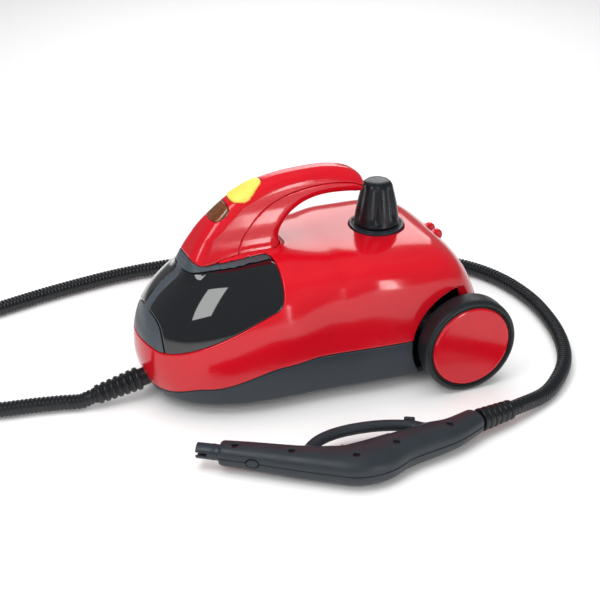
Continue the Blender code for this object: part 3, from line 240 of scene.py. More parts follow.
def body(x, y, z):
    """The whole body's skin, as in the casing's design."""
    along = np.maximum(np.maximum((-60 - x) / 153, (x - 30) / 160), 0)
    plan_power = np.where(x < 0, 2.3, 3.2)
    power = eased(x, SECTION_POWER)
    crown = CROWN_HIGH + eased(x, DECK_RISE)
    plan = (np.abs(y) / (HALF_WIDTH + eased(x, FLANK_RISE))) ** plan_power + along ** plan_power
    up = np.maximum(z - BELT, 0) / crown
    ratio = (plan ** (power / plan_power) + up ** power) ** (1 / power)
    field = (ratio - 1) * 85
    field = field + 9 * (np.maximum(BELT - z, 0) / 48) ** 2
    slope = (x - 146) * 0.897 + (z - 136) * 0.442
    field = rounded_max(field, slope, 30)
    return rounded_max(field, 12 - z, 6)


HANDLE_OUT = ((-140, 110), (-157, 138), (-159, 156), (-149, 177), (-134, 196), (-116, 213), (-96, 226),
              (-75, 235), (-50, 240), (-20, 242), (8, 241), (30, 236), (44, 227), (50, 216.5))
HANDLE_IN = ((47, 207.5), (40, 207.5), (30, 209), (10, 210.5), (-8, 209.5), (-23, 205.5), (-34, 200),
             (-42, 194), (-48, 187), (-52, 179), (-54, 170), (-54, 156), (-52, 138), (-50, 120))
HANDLE_LOOP = np.vstack((catmull(HANDLE_OUT, 4), catmull(HANDLE_IN, 4)))
HANDLE_MIDDLE = catmull([((a[0] + b[0]) / 2, (a[1] + b[1]) / 2)
                         for a, b in zip(HANDLE_OUT, reversed(HANDLE_IN))], 4)
HANDLE_HALF = ((140, 26.0), (160, 25.0), (185, 21.5), (215, 17.5), (235, 16.0))


def handle(x, y, z):
    """Column and handle as one rounded bar that bends in its own plane."""
    flat = outline_field(x, z, HANDLE_LOOP)
    half = eased(z, HANDLE_HALF)
    corner = 13.4
    a = flat + corner
    b = np.abs(y) - (half - corner)
    return np.minimum(np.maximum(a, b), 0) + np.hypot(np.maximum(a, 0), np.maximum(b, 0)) - corner


def side_of_line(u, v, line):
    """Signed distance to an open line: positive on its left."""
    u, v = np.broadcast_arrays(u, v)
    best = np.full(u.shape, 1e18)
    side = np.ones(u.shape)
    for a, b in zip(line, line[1:]):
        e = b - a
        du, dv = u - a[0], v - a[1]
        t = np.clip((du * e[0] + dv * e[1]) / max(1e-12, e @ e), 0, 1)
        d = (du - e[0] * t) ** 2 + (dv - e[1] * t) ** 2
        near = d < best
        best = np.where(near, d, best)
        side = np.where(near, np.sign(e[0] * dv - e[1] * du), side)
    return side * np.sqrt(best)


# ---------------------------------------------------------------- surfaces
def slopes(field, p, reach=0.05):
    found = []
    for axis in range(3):
        step = np.zeros(3)
        step[axis] = reach
        high, low = p + step, p - step
        found.append(field(high[:, 0], high[:, 1], high[:, 2]) - field(low[:, 0], low[:, 1], low[:, 2]))
    return np.stack(found, 1) / (2 * reach)


def skin_mesh(name, field, low, high, step=None, settle=3):
    """The closed surface where a field is zero, with the field's own slopes as its normals."""
    step = step or FINE
    axes = [np.arange(a - step, b + 2 * step, step) for a, b in zip(low, high)]
    grid = [axes[k].reshape([-1 if j == k else 1 for j in range(3)]) for k in range(3)]
    value = np.broadcast_to(field(*grid), [len(a) for a in axes])
    inside = value < 0
    cells = np.array(value.shape) - 1
    total = np.zeros((*cells, 3), np.float32)
    count = np.zeros(cells, np.int32)
    crossings = []
    for axis in range(3):
        first = [slice(None)] * 3
        second = [slice(None)] * 3
        first[axis], second[axis] = slice(0, -1), slice(1, None)
        spot = np.argwhere(inside[tuple(first)] != inside[tuple(second)])
        others = [k for k in range(3) if k != axis]
        keep = np.all((spot[:, others] > 0) & (spot[:, others] < cells[others]), axis=1)
        spot = spot[keep]
        after = spot.copy()
        after[:, axis] += 1
        va, vb = value[tuple(spot.T)], value[tuple(after.T)]
        place = spot.astype(np.float32)
        place[:, axis] += va / (va - vb)
        around = []
        for da, db in ((0, 0), (-1, 0), (-1, -1), (0, -1)):
            cell = spot.copy()
            cell[:, others[0]] += da
            cell[:, others[1]] += db
            np.add.at(total, tuple(cell.T), place)
            np.add.at(count, tuple(cell.T), 1)
            around.append(cell)
        crossings.append((axis, around, va < 0))
    number = np.full(cells, -1, np.int64)
    used = count > 0
    number[used] = np.arange(used.sum())
    start = np.array([a[0] for a in axes])
    points = start + step * (total[used] / count[used][:, None]).astype(float)
    for _ in range(settle):
        g = slopes(field, points)
        f = field(points[:, 0], points[:, 1], points[:, 2])
        shift = g * (f / np.maximum(1e-6, (g * g).sum(1)))[:, None]
        size = np.linalg.norm(shift, axis=1, keepdims=True)
        points = points - shift * np.minimum(1, 0.6 * step / np.maximum(size, 1e-9))
    normals = slopes(field, points)
    normals /= np.maximum(1e-9, np.linalg.norm(normals, axis=1, keepdims=True))
    faces = []
    for axis, around, inward in crossings:
        quad = np.stack([number[tuple(c.T)] for c in around], 1)
        flip = inward if axis != 1 else ~inward
        quad = np.where(flip[:, None], quad, quad[:, ::-1])
        faces.append(quad)
    faces = np.vstack(faces)
    mesh = bpy.data.meshes.new(name)
    mesh.vertices.add(len(points))
    mesh.loops.add(faces.size)
    mesh.polygons.add(len(faces))
    return mesh, points, normals, faces


def fill(mesh, points, normals, faces, origin):
    mesh.vertices.foreach_set("co", ((points + origin) * MM).astype(np.float32).ravel())
    mesh.loops.foreach_set("vertex_index", faces.ravel().astype(np.int32))
    mesh.polygons.foreach_set("loop_start", (np.arange(len(faces)) * 4).astype(np.int32))
    mesh.update(calc_edges=True)
    mesh.shade_smooth()
    mesh.normals_split_custom_set_from_vertices(normals.tolist())
    return mesh


def place(name, mesh, look, rides, nodes, slot):
    made = bpy.data.objects.new(name, mesh)
    bpy.context.scene.collection.objects.link(made)
    if not mesh.materials:
        mesh.materials.append(look)
    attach(made, rides)
    if nodes:
        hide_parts(*nodes)
    return made


def moulded(name, field, low, high, look, rides, nodes, slot, origin=MACHINE, step=None):
    """A moulding made from its field."""
    mesh, points, normals, faces = skin_mesh(name, field, low, high, step)
    fill(mesh, points, normals, faces, origin)
    return place(name, mesh, look, rides, nodes, slot)


def turned(name, profile, look, rides, nodes, slot, centre, way, steps=96, lobes=None, bend=35):
    """A closed (radius, height) outline turned round an axis; lobes(angle, radius, height)
    reshapes it."""
    rings = []
    for k in range(steps):
        angle = 2 * math.pi * k / steps
        ring = []
        for r, h in profile:
            reach = lobes(angle, r, h) if lobes else r
            ring.append((reach * math.cos(angle) * MM, reach * math.sin(angle) * MM, h * MM))
        rings.append(ring)
    shape = bmesh.new()
    made = [[shape.verts.new(p) for p in ring] for ring in rings]
    for here, after in zip(made, made[1:] + made[:1]):
        for j in range(len(profile)):
            k = (j + 1) % len(profile)
            shape.faces.new((here[j], after[j], after[k], here[k]))
    bmesh.ops.remove_doubles(shape, verts=shape.verts, dist=1e-7)
    bmesh.ops.recalc_face_normals(shape, faces=shape.faces)
    turn = Vector(way).to_track_quat("Z", "Y").to_matrix().to_4x4()
    shape.transform(Matrix.Translation(Vector([c * MM for c in centre])) @ turn)
    mesh = bpy.data.meshes.new(name)
    shape.to_mesh(mesh)
    shape.free()
    mesh.shade_smooth()
    mesh.set_sharp_from_angle(angle=math.radians(bend))
    return place(name, mesh, look, rides, nodes, slot)


def rounded_profile(points, radius, steps=4):
    """The closed outline with each corner replaced by a small curve; radius may be one per corner."""
    found = []
    count = len(points)
    for k in range(count):
        before, here, after = (np.array(points[(k + j) % count], float) for j in (-1, 0, 1))
        r = radius[k] if hasattr(radius, "__len__") else radius
        a, b = before - here, after - here
        la, lb = np.linalg.norm(a), np.linalg.norm(b)
        if r <= 0 or here[0] <= 1e-6:
            found.append(tuple(here))
            continue
        reach = min(r, la * 0.45, lb * 0.45)
        start, end = here + a / la * reach, here + b / lb * reach
        for t in np.linspace(0, 1, steps + 1):
            found.append(tuple((1 - t) ** 2 * start + 2 * t * (1 - t) * here + t ** 2 * end))
    return found


# ---------------------------------------------------------------- camera
SENSOR_WIDTH, FOCAL_LENGTH, FAR_CLIP = 36, 96, 20
CAMERA_AT = (-0.5911, -1.3877, 0.9200)
AZIMUTH, ELEVATION = math.radians(-22.5), math.radians(28.0)
right = Vector((math.cos(AZIMUTH), math.sin(AZIMUTH), 0))
up = Vector((-math.sin(AZIMUTH) * math.sin(ELEVATION), math.cos(AZIMUTH) * math.sin(ELEVATION),
             math.cos(ELEVATION)))
camera = bpy.data.objects.new("camera", bpy.data.cameras.new("camera"))
bpy.context.scene.collection.objects.link(camera)
camera.data.sensor_width = SENSOR_WIDTH
camera.data.lens = FOCAL_LENGTH
camera.data.clip_end = FAR_CLIP
back = right.cross(up)
pose = Matrix((right, up, back)).transposed().to_4x4()
pose.translation = Vector(CAMERA_AT)
camera.matrix_world = pose
bpy.context.scene.camera = camera


# ---------------------------------------------------------------- hose
HOSE_ROUTE = ((-280, 2), (-300, 7), (-330, 13), (-364, 18), (-402, 27), (-437, 47), (-461, 80),
              (-470, 121), (-461, 164), (-434, 201), (-395, 224), (-353, 236), (-312, 245), (-259, 258),
              (-206, 268), (-153, 275), (-100, 276), (-40, 270), (30, 254), (100, 229), (165, 196),
              (222, 162), (258, 128), (281, 80), (289, 21), (282, -40), (267, -90), (247, -127),
              (220, -157), (190, -179))
HOSE_REST, HOSE_RADIUS = 9.2, 8.5             # height of the middle line, and its outer radius
HOSE_PITCH, RING_STEPS, HOSE_SIDES = 4.6, 6, 28
RIB_WAVE = (1.0, 0.985, 0.93, 0.865, 0.93, 0.985)
STRAIGHT = 6                                  # straight run where the hose leaves a gland
GLAND_AT, GLAND_WAY = np.array((-205, 0, 26.0)), np.array((-0.9785, 0, -0.2062))
GLAND_LENGTH, HOSE_GAP = 60.0, 0.3
RELIEF_START = np.array((102.0, 3.0, 0.0))
RELIEF_END = np.array((160.0, 16.5, -3.0))
RELIEF_WAY = (RELIEF_END - RELIEF_START) / np.linalg.norm(RELIEF_END - RELIEF_START)


def hose_path(spacing):
    """Evenly spaced points along the hose's middle line, and its length."""
    start = GLAND_AT + GLAND_WAY * (GLAND_LENGTH + HOSE_GAP)
    finish = RELIEF_END + GUN - MACHINE + RELIEF_WAY * HOSE_GAP
    route = [start + GLAND_WAY * STRAIGHT, *[(x, y, HOSE_REST) for x, y in HOSE_ROUTE],
             finish + RELIEF_WAY * STRAIGHT]
    path = np.vstack((start, catmull(route, 40), finish)) + MACHINE
    steps = np.linalg.norm(np.diff(path, axis=0), axis=1)
    walked = np.concatenate(([0], np.cumsum(steps)))
    count = int(round(walked[-1] / spacing))
    at = np.linspace(0, walked[-1], count + 1)
    return np.stack([np.interp(at, walked, path[:, k]) for k in range(3)], 1), walked[-1]


def make_hose():
    """A corrugated hose: one raised rib and one groove for each pitch."""
    path, length = hose_path(HOSE_PITCH / RING_STEPS)
    tangent = np.gradient(path, axis=0)
    tangent /= np.linalg.norm(tangent, axis=1, keepdims=True)
    side = np.cross(tangent, (0, 0, 1.0))
    side /= np.linalg.norm(side, axis=1, keepdims=True)
    rise = np.cross(side, tangent)
    wave = np.array(RIB_WAVE) * HOSE_RADIUS
    angle = np.linspace(0, 2 * np.pi, HOSE_SIDES, endpoint=False)
    ring = wave[np.arange(len(path)) % RING_STEPS][:, None, None]
    points = path[:, None, :] + ring * (np.cos(angle)[None, :, None] * side[:, None, :]
                                        + np.sin(angle)[None, :, None] * rise[:, None, :])
    shape = bmesh.new()
    made = [[shape.verts.new(p * MM) for p in row] for row in points]
    for here, after in zip(made, made[1:]):
        for j in range(HOSE_SIDES):
            k = (j + 1) % HOSE_SIDES
            shape.faces.new((here[j], here[k], after[k], after[j]))
    shape.faces.new(reversed(made[0]))
    shape.faces.new(made[-1])
    bmesh.ops.recalc_face_normals(shape, faces=shape.faces)
    mesh = bpy.data.meshes.new("corrugated_hose")
    shape.to_mesh(mesh)
    shape.free()
    mesh.shade_smooth()
    mesh.materials.append(HOSE)
    hose = bpy.data.objects.new("corrugated_hose", mesh)
    bpy.context.scene.collection.objects.link(hose)
    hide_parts("steam_hose")
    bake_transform(hose)


make_hose()


# ---------------------------------------------------------------- machine casings
VISOR_SIDE = chaikin(((-225, 81.5), (-207.5, 78.0), (-201, 75.0), (-190, 77.5), (-173, 83.0),
                      (-146, 94.0), (-126, 103), (-108, 111), (-93, 117), (-80, 121.5), (-75.5, 126),
                      (-72.5, 136), (-70.5, 150), (-69, 163.5), (-97, 163), (-127, 160), (-141, 158.5), (-150, 160),
                      (-157, 166), (-160, 180), (-225, 180)), 2)
# The windows run out to the visor's own edge below and behind, so only its top and front are here.
WINDOW_SIDE = chaikin(((-197.5, 84), (-196, 68), (-170, 72), (-100, 98), (-60, 112), (-60, 160.5),
                       (-96, 160), (-119, 157), (-148, 153.5), (-165, 152), (-215, 150), (-215, 115),
                       (-197.5, 112)), 2)
EDGE = 1.2                                   # rounding of a moulding's edges, in mm
SPINE_HALF = 7.0                             # half the frame's width between the two windows
WALL = max(3.0, 2.4 * FINE)
WHEEL_X, WHEEL_Y, WHEEL_Z = 128, 113, 55
ARCH_RADIUS, ARCH_FROM = 59, 90
CAP_X, CASTER_X, CORD_Z = 69, -140, 35
COLLAR_HOLE, GLAND_HOLE, CORD_HOLE, CASTER_HOLE, AXLE_HOLE = 30.9, 10.6, 7.4, 20.4, 4.8
LUG_AT, LUG_RADIUS = (140, 137.5), 6.6
OUT_OF_REACH = -9                            # a value that leaves a cut out
FOOT = 2.0                                   # how far out of the column its own mouldings reach


def skin(x, y, z):
    """The body's skin with the column and handle growing out of it."""
    return rounded_min(body(x, y, z), handle(x, y, z), 12)


def seam(x):
    """Height of the line between the casing and the base."""
    return BELT + eased(x, SEAM_RISE)


def arches(x, y, z):
    """The two wheel arches: negative inside them."""
    wheel = np.hypot(x - WHEEL_X, z - WHEEL_Z) - ARCH_RADIUS
    return rounded_max(wheel, ARCH_FROM - np.abs(y), 3)


def gland_hole(x, y, z):
    """The hose gland's hole in the nose: positive inside it."""
    hole = GLAND_HOLE - np.hypot(y, (x - GLAND_AT[0]) * GLAND_WAY[2] - (z - GLAND_AT[2]) * GLAND_WAY[0])
    return np.where(x < -150, hole, OUT_OF_REACH)


def casing_cut(field, x, y, z):
    """The skin as a wall, cut by another field, with rounded outer edges."""
    whole = skin(x, y, z)
    return np.maximum(rounded_max(whole, field, EDGE), -(whole + WALL))


def lugs(x, y, z):
    """Two small lugs at the deck's rear edge."""
    tube = np.hypot(x - LUG_AT[0], z - LUG_AT[1]) - LUG_RADIUS
    return rounded_max(tube, np.abs(np.abs(y) - 9) - 3.6, 2.5)


def upper_field(x, y, z):
    cut = rounded_max(seam(x) + HAIR - z, -(outline_field(x, z, VISOR_SIDE) - HAIR), EDGE)
    cut = rounded_max(cut, -arches(x, y, z), EDGE)
    cut = rounded_max(cut, FOOT + HAIR - handle(x, y, z), EDGE)
    hole = COLLAR_HOLE - np.hypot(x - CAP_X, y)
    cut = np.maximum(cut, np.where(z > 120, hole, OUT_OF_REACH))
    cut = np.maximum(cut, gland_hole(x, y, z))
    return rounded_min(casing_cut(cut, x, y, z), lugs(x, y, z), 2.0)


def base_field(x, y, z):
    cut = rounded_max(z - seam(x) + HAIR, -arches(x, y, z), EDGE)
    cut = np.maximum(cut, gland_hole(x, y, z))
    cord = CORD_HOLE - np.hypot(y, z - CORD_Z)
    cut = np.maximum(cut, np.where(x > 150, cord, OUT_OF_REACH))
    caster = CASTER_HOLE - np.hypot(x - CASTER_X, y)
    cut = np.maximum(cut, np.where(z < 24, caster, OUT_OF_REACH))
    axle = AXLE_HOLE - np.hypot(x - WHEEL_X, z - WHEEL_Z)
    return casing_cut(np.maximum(cut, axle), x, y, z)


def window_region(x, y, z):
    return rounded_max(outline_field(x, z, WINDOW_SIDE), SPINE_HALF - np.abs(y), 3.0)


def frame_field(x, y, z):
    cut = np.maximum(outline_field(x, z, VISOR_SIDE) + HAIR, HAIR - window_region(x, y, z))
    return casing_cut(cut, x, y, z)


def window_field(way):
    def pane(x, y, z):
        cut = rounded_max(outline_field(x, z, VISOR_SIDE) + HAIR, window_region(x, y, z) + HAIR, EDGE)
        return casing_cut(np.maximum(cut, -way * y), x, y, z)
    return pane


moulded("casing_upper", upper_field, (-214, -104, 22), (188, 104, 168), RED, "machine",
        ["upper_casing"], "red_gloss")
moulded("casing_base", base_field, (-208, -104, 11), (188, 104, 63), BASE, "machine",
        ["base_shell"], "base_grey")
moulded("visor_surround", frame_field, (-214, -90, 72), (-66, 90, 168), RIM, "machine",
        ["visor_frame"], "dark_rim", step=FINE * 0.8)
for side, way in (("left", -1), ("right", 1)):
    ends = sorted((way * 6, way * 90))
    moulded("visor_pane_" + side, window_field(way), (-214, ends[0], 78), (-70, ends[1], 166), BLACK,
            "machine", ["visor_window_" + side], "black_gloss", step=FINE * 0.8)

# ---------------------------------------------------------------- handle, button and lens
BUTTON_ALONG, LENS_ALONG = (0.914, 0.405), (0.714, 0.700)


def ridge_spot(place):
    last = len(HANDLE_OUT) - 1
    index = min(int(place), last - 1)
    t = place - index
    a, b, c, d = (np.array(HANDLE_OUT[min(max(index + k, 0), last)], float) for k in (-1, 0, 1, 2))
    return 0.5 * (2 * b + (c - a) * t + (2 * a - 5 * b + 4 * c - d) * t ** 2
                  + (3 * b - a - 3 * c + d) * t ** 3)


def patch_outline(stations, along):
    """A patch of the ridge drawn flat: distance along the ridge, and half width."""
    rows = [(float(ridge_spot(place) @ np.array(along)), half) for place, half in stations]
    return chaikin(rows + [(s, -half) for s, half in reversed(rows)], 3)


BUTTON_SHAPE = patch_outline(((5.55, 8.5), (5.75, 12.5), (6.05, 15.0), (6.4, 14.5), (6.8, 11.0),
                              (7.25, 6.0)), BUTTON_ALONG)
LENS_SHAPE = patch_outline(((4.35, 11.5), (4.55, 15.0), (4.95, 15.0), (5.3, 12.5)), LENS_ALONG)


def button_outline(x, y, z):
    return outline_field(x * BUTTON_ALONG[0] + z * BUTTON_ALONG[1], y, BUTTON_SHAPE)


def lens_outline(x, y, z):
    return outline_field(x * LENS_ALONG[0] + z * LENS_ALONG[1], y, LENS_SHAPE)


def parting(x, z):
    return side_of_line(x, z, HANDLE_MIDDLE)


def handle_end(x, y, z):
    """Where the handle's mouldings end: round the column's foot, and at the visor's top line."""
    return rounded_max(handle(x, y, z) - FOOT + HAIR, HAIR - outline_field(x, z, VISOR_SIDE), 0.8)


HANDLE_WALL = max(2.6, 2.0 * FINE)


def cover_field(x, y, z):
    whole = skin(x, y, z)
    cut = rounded_max(handle_end(x, y, z), HAIR - parting(x, z), 0.8)
    top = np.where(z > 190, 0, 60)
    cut = rounded_max(cut, -(button_outline(x, y, z) - 0.45) - top, 0.8)
    cut = rounded_max(cut, -(lens_outline(x, y, z) - 0.25) - top, 0.6)
    return np.maximum(rounded_max(whole, cut, 0.8), -(whole + HANDLE_WALL))


def grip_field(x, y, z):
    whole = skin(x, y, z)
    cut = rounded_max(handle_end(x, y, z), HAIR + parting(x, z), 0.8)
    return np.maximum(rounded_max(whole, cut, 0.8), -(whole + HANDLE_WALL))


def button_field(x, y, z):
    dome = handle(x, y, z) - 1.5
    return np.maximum(rounded_max(dome, button_outline(x, y, z) + 0.1, 2.4), -(handle(x, y, z) + 5))


def lens_field(x, y, z):
    return np.maximum(rounded_max(handle(x, y, z), lens_outline(x, y, z) + 0.1, 1.2),
                      -(handle(x, y, z) + 2.8))


fine_step = FINE * 0.8
moulded("handle_outer", cover_field, (-165, -34, 140), (56, 34, 244), RED, "machine", ["handle_cover"],
        "red_gloss", step=fine_step)
moulded("handle_inner", grip_field, (-110, -34, 140), (56, 34, 236), RED, "machine", ["handle_grip"],
        "red_gloss", step=fine_step)
moulded("button_cap", button_field, (-114, -17, 206), (-60, 17, 242), YELLOW, "power_button",
        ["power_button"], "yellow", step=fine_step * 0.7)
moulded("lens_cover", lens_field, (-134, -18, 190), (-98, 18, 226), AMBER, "machine",
        ["indicator_lens"], "amber", step=fine_step * 0.7)

# ---------------------------------------------------------------- filler cap
CAP_AT = MACHINE + np.array((CAP_X, 0, 162.5))


def cap_lobes(angle, radius, height):
    """Six scooped grips that fade out at the foot and the crown."""
    share = min(1.0, max(0.0, (height - 3) / 9)) * min(1.0, max(0.0, (49.5 - height) / 7))
    scoop = (0.5 + 0.5 * math.cos(6 * angle)) ** 2.2
    return radius * (1 - 0.15 * share * scoop)


cap_profile = [(0, 0.2), (24.4, 0.2), (25.2, 0.9), (25.4, 2.6), (24.8, 4.2), (24.4, 6.0)]
cap_profile += [(24.3 - 7.2 * (t ** 1.35), 6 + 38 * t) for t in np.linspace(0.05, 1, 22)]
cap_profile += [(16.2, 46.2), (14.8, 48.0), (12.4, 49.3), (9.0, 49.9), (5, 49.9), (0, 49.9)]
turned("cap_grip", cap_profile, CAP, "cap", ["cap_knob"], "base_grey", CAP_AT, (0, 0, 1), 144,
       cap_lobes, 50)
collar_profile = rounded_profile([(19.4, -7), (30.4, -7), (30.4, -1.1), (27.6, -1.1), (27.0, -2.6),
                                  (26.0, -2.6), (25.8, -1.1), (19.4, -1.1)], 0.8)
turned("cap_collar", collar_profile, BASE, "machine", ["filler_collar"], "base_grey", CAP_AT,
       (0, 0, 1), 96)


# ---------------------------------------------------------------- wheels
def make_wheel(side, way):
    centre = MACHINE + np.array((WHEEL_X, way * WHEEL_Y, WHEEL_Z))
    out = (0, way, 0)
    body_name = "wheel_" + side
    tyre = rounded_profile([(48.6, -12.4), (51.0, -12.9), (54.2, -11.0), (54.9, -7.0), (54.9, 7.0),
                            (54.2, 11.0), (51.0, 12.9), (48.6, 12.4)], 3.0, 5)
    turned("tyre_" + side, tyre, TYRE, body_name, ["wheel_tyre_" + side], "tyre", centre, out, 160)
    rim = rounded_profile([(48.2, -12.0), (48.2, 12.0), (47.4, 12.6), (46.8, 11.8), (46.6, 2.0),
                           (10, 2.0), (10, 5.0), (4.4, 5.0), (4.4, -15.0), (10, -15.0), (10, -1.0),
                           (46.4, -1.0), (46.6, -12.0)], 0.5, 3)
    turned("rim_" + side, rim, TYRE, body_name, ["wheel_rim_" + side], "base_grey", centre, out, 120)
    edge = 46.3
    disc = [(0, 8.6), (edge - 4, 9.4), (edge, 7.8), (edge, 11.2), (edge - 0.8, 12.3),
            (edge - 2.6, 12.9)]
    disc += [(r, 11.6 + 1.2 * (r / edge) ** 2) for r in (40, 34, 28, 22, 16, 10, 5)] + [(0, 11.6)]
    turned("disc_" + side, rounded_profile(disc, 0.4, 2), RED, body_name, ["wheel_disc_" + side],
           "red_gloss", centre, out, 120)


for side, way in (("left", -1), ("right", 1)):
    make_wheel(side, way)


# ---------------------------------------------------------------- ribbed bend protectors
def ribbed(start, end, first, last, count, bore, depth, lead):
    """A tapered row of rounded ribs, as an outline for turning."""
    profile = [(bore, start), (first, start)] if not lead else list(lead)
    pitch = (end - start) / count
    for k in range(count):
        r = first + (last - first) * k / max(1, count - 1)
        h = start + k * pitch
        for t in np.linspace(0, 1, 9):
            profile.append((r - 0.9 * abs(2 * t - 1) ** 3.5, h + 0.66 * pitch * t))
        profile += [(r - depth, h + 0.74 * pitch), (r - depth, h + 0.94 * pitch)]
    profile[-1] = (profile[-1][0], end)
    return profile + [(bore, end)]


gland = ribbed(8.0, GLAND_LENGTH, 13.0, 10.8, 7, 4.6, 2.0,
               [(4.6, -12.5), (11, -12.5), (11, -9.5), (10, -9.5), (10, 8)])
turned("hose_boot", gland, HOSE, "machine", ["hose_gland"], "hose_grey",
       MACHINE + GLAND_AT, GLAND_WAY, 72, None, 28)
relief_length = float(np.linalg.norm(RELIEF_END - RELIEF_START))
relief = ribbed(13.5, relief_length, 12.5, 10.8, 6, 4.1, 2.0,
                [(4.1, 0), (7.4, 0), (7.4, 13.4)])
turned("gun_boot", relief, HOSE, "gun", ["gun_strain_relief"], "hose_grey", GUN + RELIEF_START,
       RELIEF_WAY, 72, None, 28)

# ---------------------------------------------------------------- steam gun
GUN_STATIONS = ((-159, 52, 12.5, 12.0), (-133, 35, 14.0, 13.0), (-90, 5, 16.5, 15.0),
                (-64, -10, 19.5, 16.0), (-39, -22, 23.5, 17.0), (-16, -23, 23.5, 17.4),
                (11, -15, 20.5, 17.0), (38, -11, 19.0, 16.2), (59, -8, 18.5, 15.0),
                (79, -5, 16.5, 13.8), (112, 7, 13.5, 11.8))
GUN_LINE = catmull(GUN_STATIONS, 7)
GUARD_ROUTE = ((-80, 2), (-76, 18), (-61, 31.5), (-42, 38.5), (-22, 40.2), (-2, 38.5), (16, 34.5),
               (34, 27.5), (49, 18), (56, 3))
LOCK_AT, LOCK_TURN = (45.5, 31.5), math.radians(-30)
GUARD_LINE = catmull(GUARD_ROUTE, 5)
TRIGGER_SLOT = np.array(((-53.5, -13.5), (18.5, -20), (18.5, 20), (-53.5, 20)), float)
SCREW_SPOTS = ((-146, 41.5), (-98, 7.5), (-42, -27), (5, -21), (72, -8))
SOCKET_AT, SOCKET_WAY = (-159, 52), (0.82908, -0.55915)    # the way points back into the gun
RELEASE_AT = (-128, 31.5)


def along_line(x, y, line):
    """Distance to a bent centre line, its overshoot past the ends, and the line's own values there."""
    x, y = np.broadcast_arrays(x, y)
    best = np.full(x.shape, 1e18)
    values = [np.zeros(x.shape) for _ in range(line.shape[1] - 2)]
    front, rear = (e / np.linalg.norm(e) for e in (line[0, :2] - line[1, :2],
                                                   line[-1, :2] - line[-2, :2]))
    over = np.maximum((x - line[0, 0]) * front[0] + (y - line[0, 1]) * front[1],
                      (x - line[-1, 0]) * rear[0] + (y - line[-1, 1]) * rear[1])
    for a, b in zip(line, line[1:]):
        e = b[:2] - a[:2]
        t = np.clip(((x - a[0]) * e[0] + (y - a[1]) * e[1]) / max(1e-9, e @ e), 0, 1)
        d = (x - a[0] - e[0] * t) ** 2 + (y - a[1] - e[1] * t) ** 2
        near = d < best
        best = np.where(near, d, best)
        for k, value in enumerate(values):
            values[k] = np.where(near, a[k + 2] + (b[k + 2] - a[k + 2]) * t, value)
    return np.sqrt(best), over, values


def gun_body(x, y, z):
    away, over, (wide, thick) = along_line(x, y, GUN_LINE)
    across = np.sqrt(np.maximum(0, away ** 2 - np.maximum(over, 0) ** 2))
    ratio = ((across / wide) ** 2.5 + (np.abs(z) / thick) ** 2.5) ** (1 / 2.5)
    section = (ratio - 1) * np.minimum(wide, thick)
    main = rounded_max(section, over, 5)
    away, over, _ = along_line(x, y, GUARD_LINE)
    bar = np.hypot(away, z) - 6.1
    return rounded_min(main, bar, 9)


def socket_axes(x, y):
    """How far a place lies into the gun from the socket's start, and how far to its side."""
    dx, dy = x - SOCKET_AT[0], y - SOCKET_AT[1]
    return dx * SOCKET_WAY[0] + dy * SOCKET_WAY[1], dx * -SOCKET_WAY[1] + dy * SOCKET_WAY[0]


def release_axes(x, y):
    """How far a place lies out along the release button's travel, and how far to its side."""
    dx, dy = x - RELEASE_AT[0], y - RELEASE_AT[1]
    return dx * SOCKET_WAY[1] + dy * -SOCKET_WAY[0], dx * SOCKET_WAY[0] + dy * SOCKET_WAY[1]


def gun_half(way):
    def half(x, y, z):
        whole = gun_body(x, y, z)
        cut = 0.15 - way * z
        inner_main, over, (wide, thick) = along_line(x, y, GUN_LINE)
        slot = rounded_max(outline_field(x, y, TRIGGER_SLOT), np.abs(z) - 5.5, 1.0)
        cut = rounded_max(cut, -slot, 0.8)
        s, t = release_axes(x, y)
        well = rounded_max(np.hypot(t / 7.1, z / 4.8) * 5.6 - 5.6, 4 - s, 0.8)
        cut = rounded_max(cut, -well, 0.8)
        if way > 0:
            for sx, sy in SCREW_SPOTS:
                hole = rounded_max(np.hypot(x - sx, y - sy) - 3.4, 6 - z, 0.5)
                cut = rounded_max(cut, -hole, 1.0)
        section = np.minimum((inner_main / wide) ** 2.5 + (np.abs(z) / thick) ** 2.5, 9) ** (1 / 2.5) - 1
        hollow = np.maximum(section * np.minimum(wide, thick) + max(2.6, 2.2 * FINE), over - 40)
        depth, across = socket_axes(x, y)
        mouth = np.maximum(np.hypot(across, z) - 9.1, depth - 12)
        rear = np.hypot((x - RELIEF_START[0]) * -0.2266 + (y - RELIEF_START[1]) * 0.974, z) - 7.8
        rear = np.maximum(rear, 95 - x)
        return np.maximum(np.maximum(rounded_max(whole, cut, 0.9), -hollow), np.maximum(-mouth, -rear))
    return half


moulded("gun_half_top", gun_half(1), (-172, -50, -1), (124, 66, 18), GREY, "gun", ["gun_shell_upper"],
        "gun_grey", GUN)
moulded("gun_half_bottom", gun_half(-1), (-172, -50, -18), (124, 66, 1), GREY, "gun",
        ["gun_shell_lower"], "gun_grey", GUN)



def socket_field(x, y, z):
    """The nozzle socket: a tube with a ring and two slots at its open end; s runs out of the gun."""
    depth, across = socket_axes(x, y)
    s, r = -depth, np.hypot(across, z)
    ring = 0.35 * np.exp(-((s - 6) / 1.6) ** 2)
    tube = np.maximum(rounded_max(r - 8.35 - ring, np.maximum(s - 24, -8 - s), 1.2), 6.0 - r)
    slot = rounded_max(np.abs(z) - 1.8, 12 - s, 0.6)
    return rounded_max(tube, -slot, 0.7)


moulded("nozzle_tube", socket_field, (-197, 36, -10), (-140, 78, 10), BASE, "gun", ["nozzle_socket"],
        "base_grey", GUN, step=0.9)


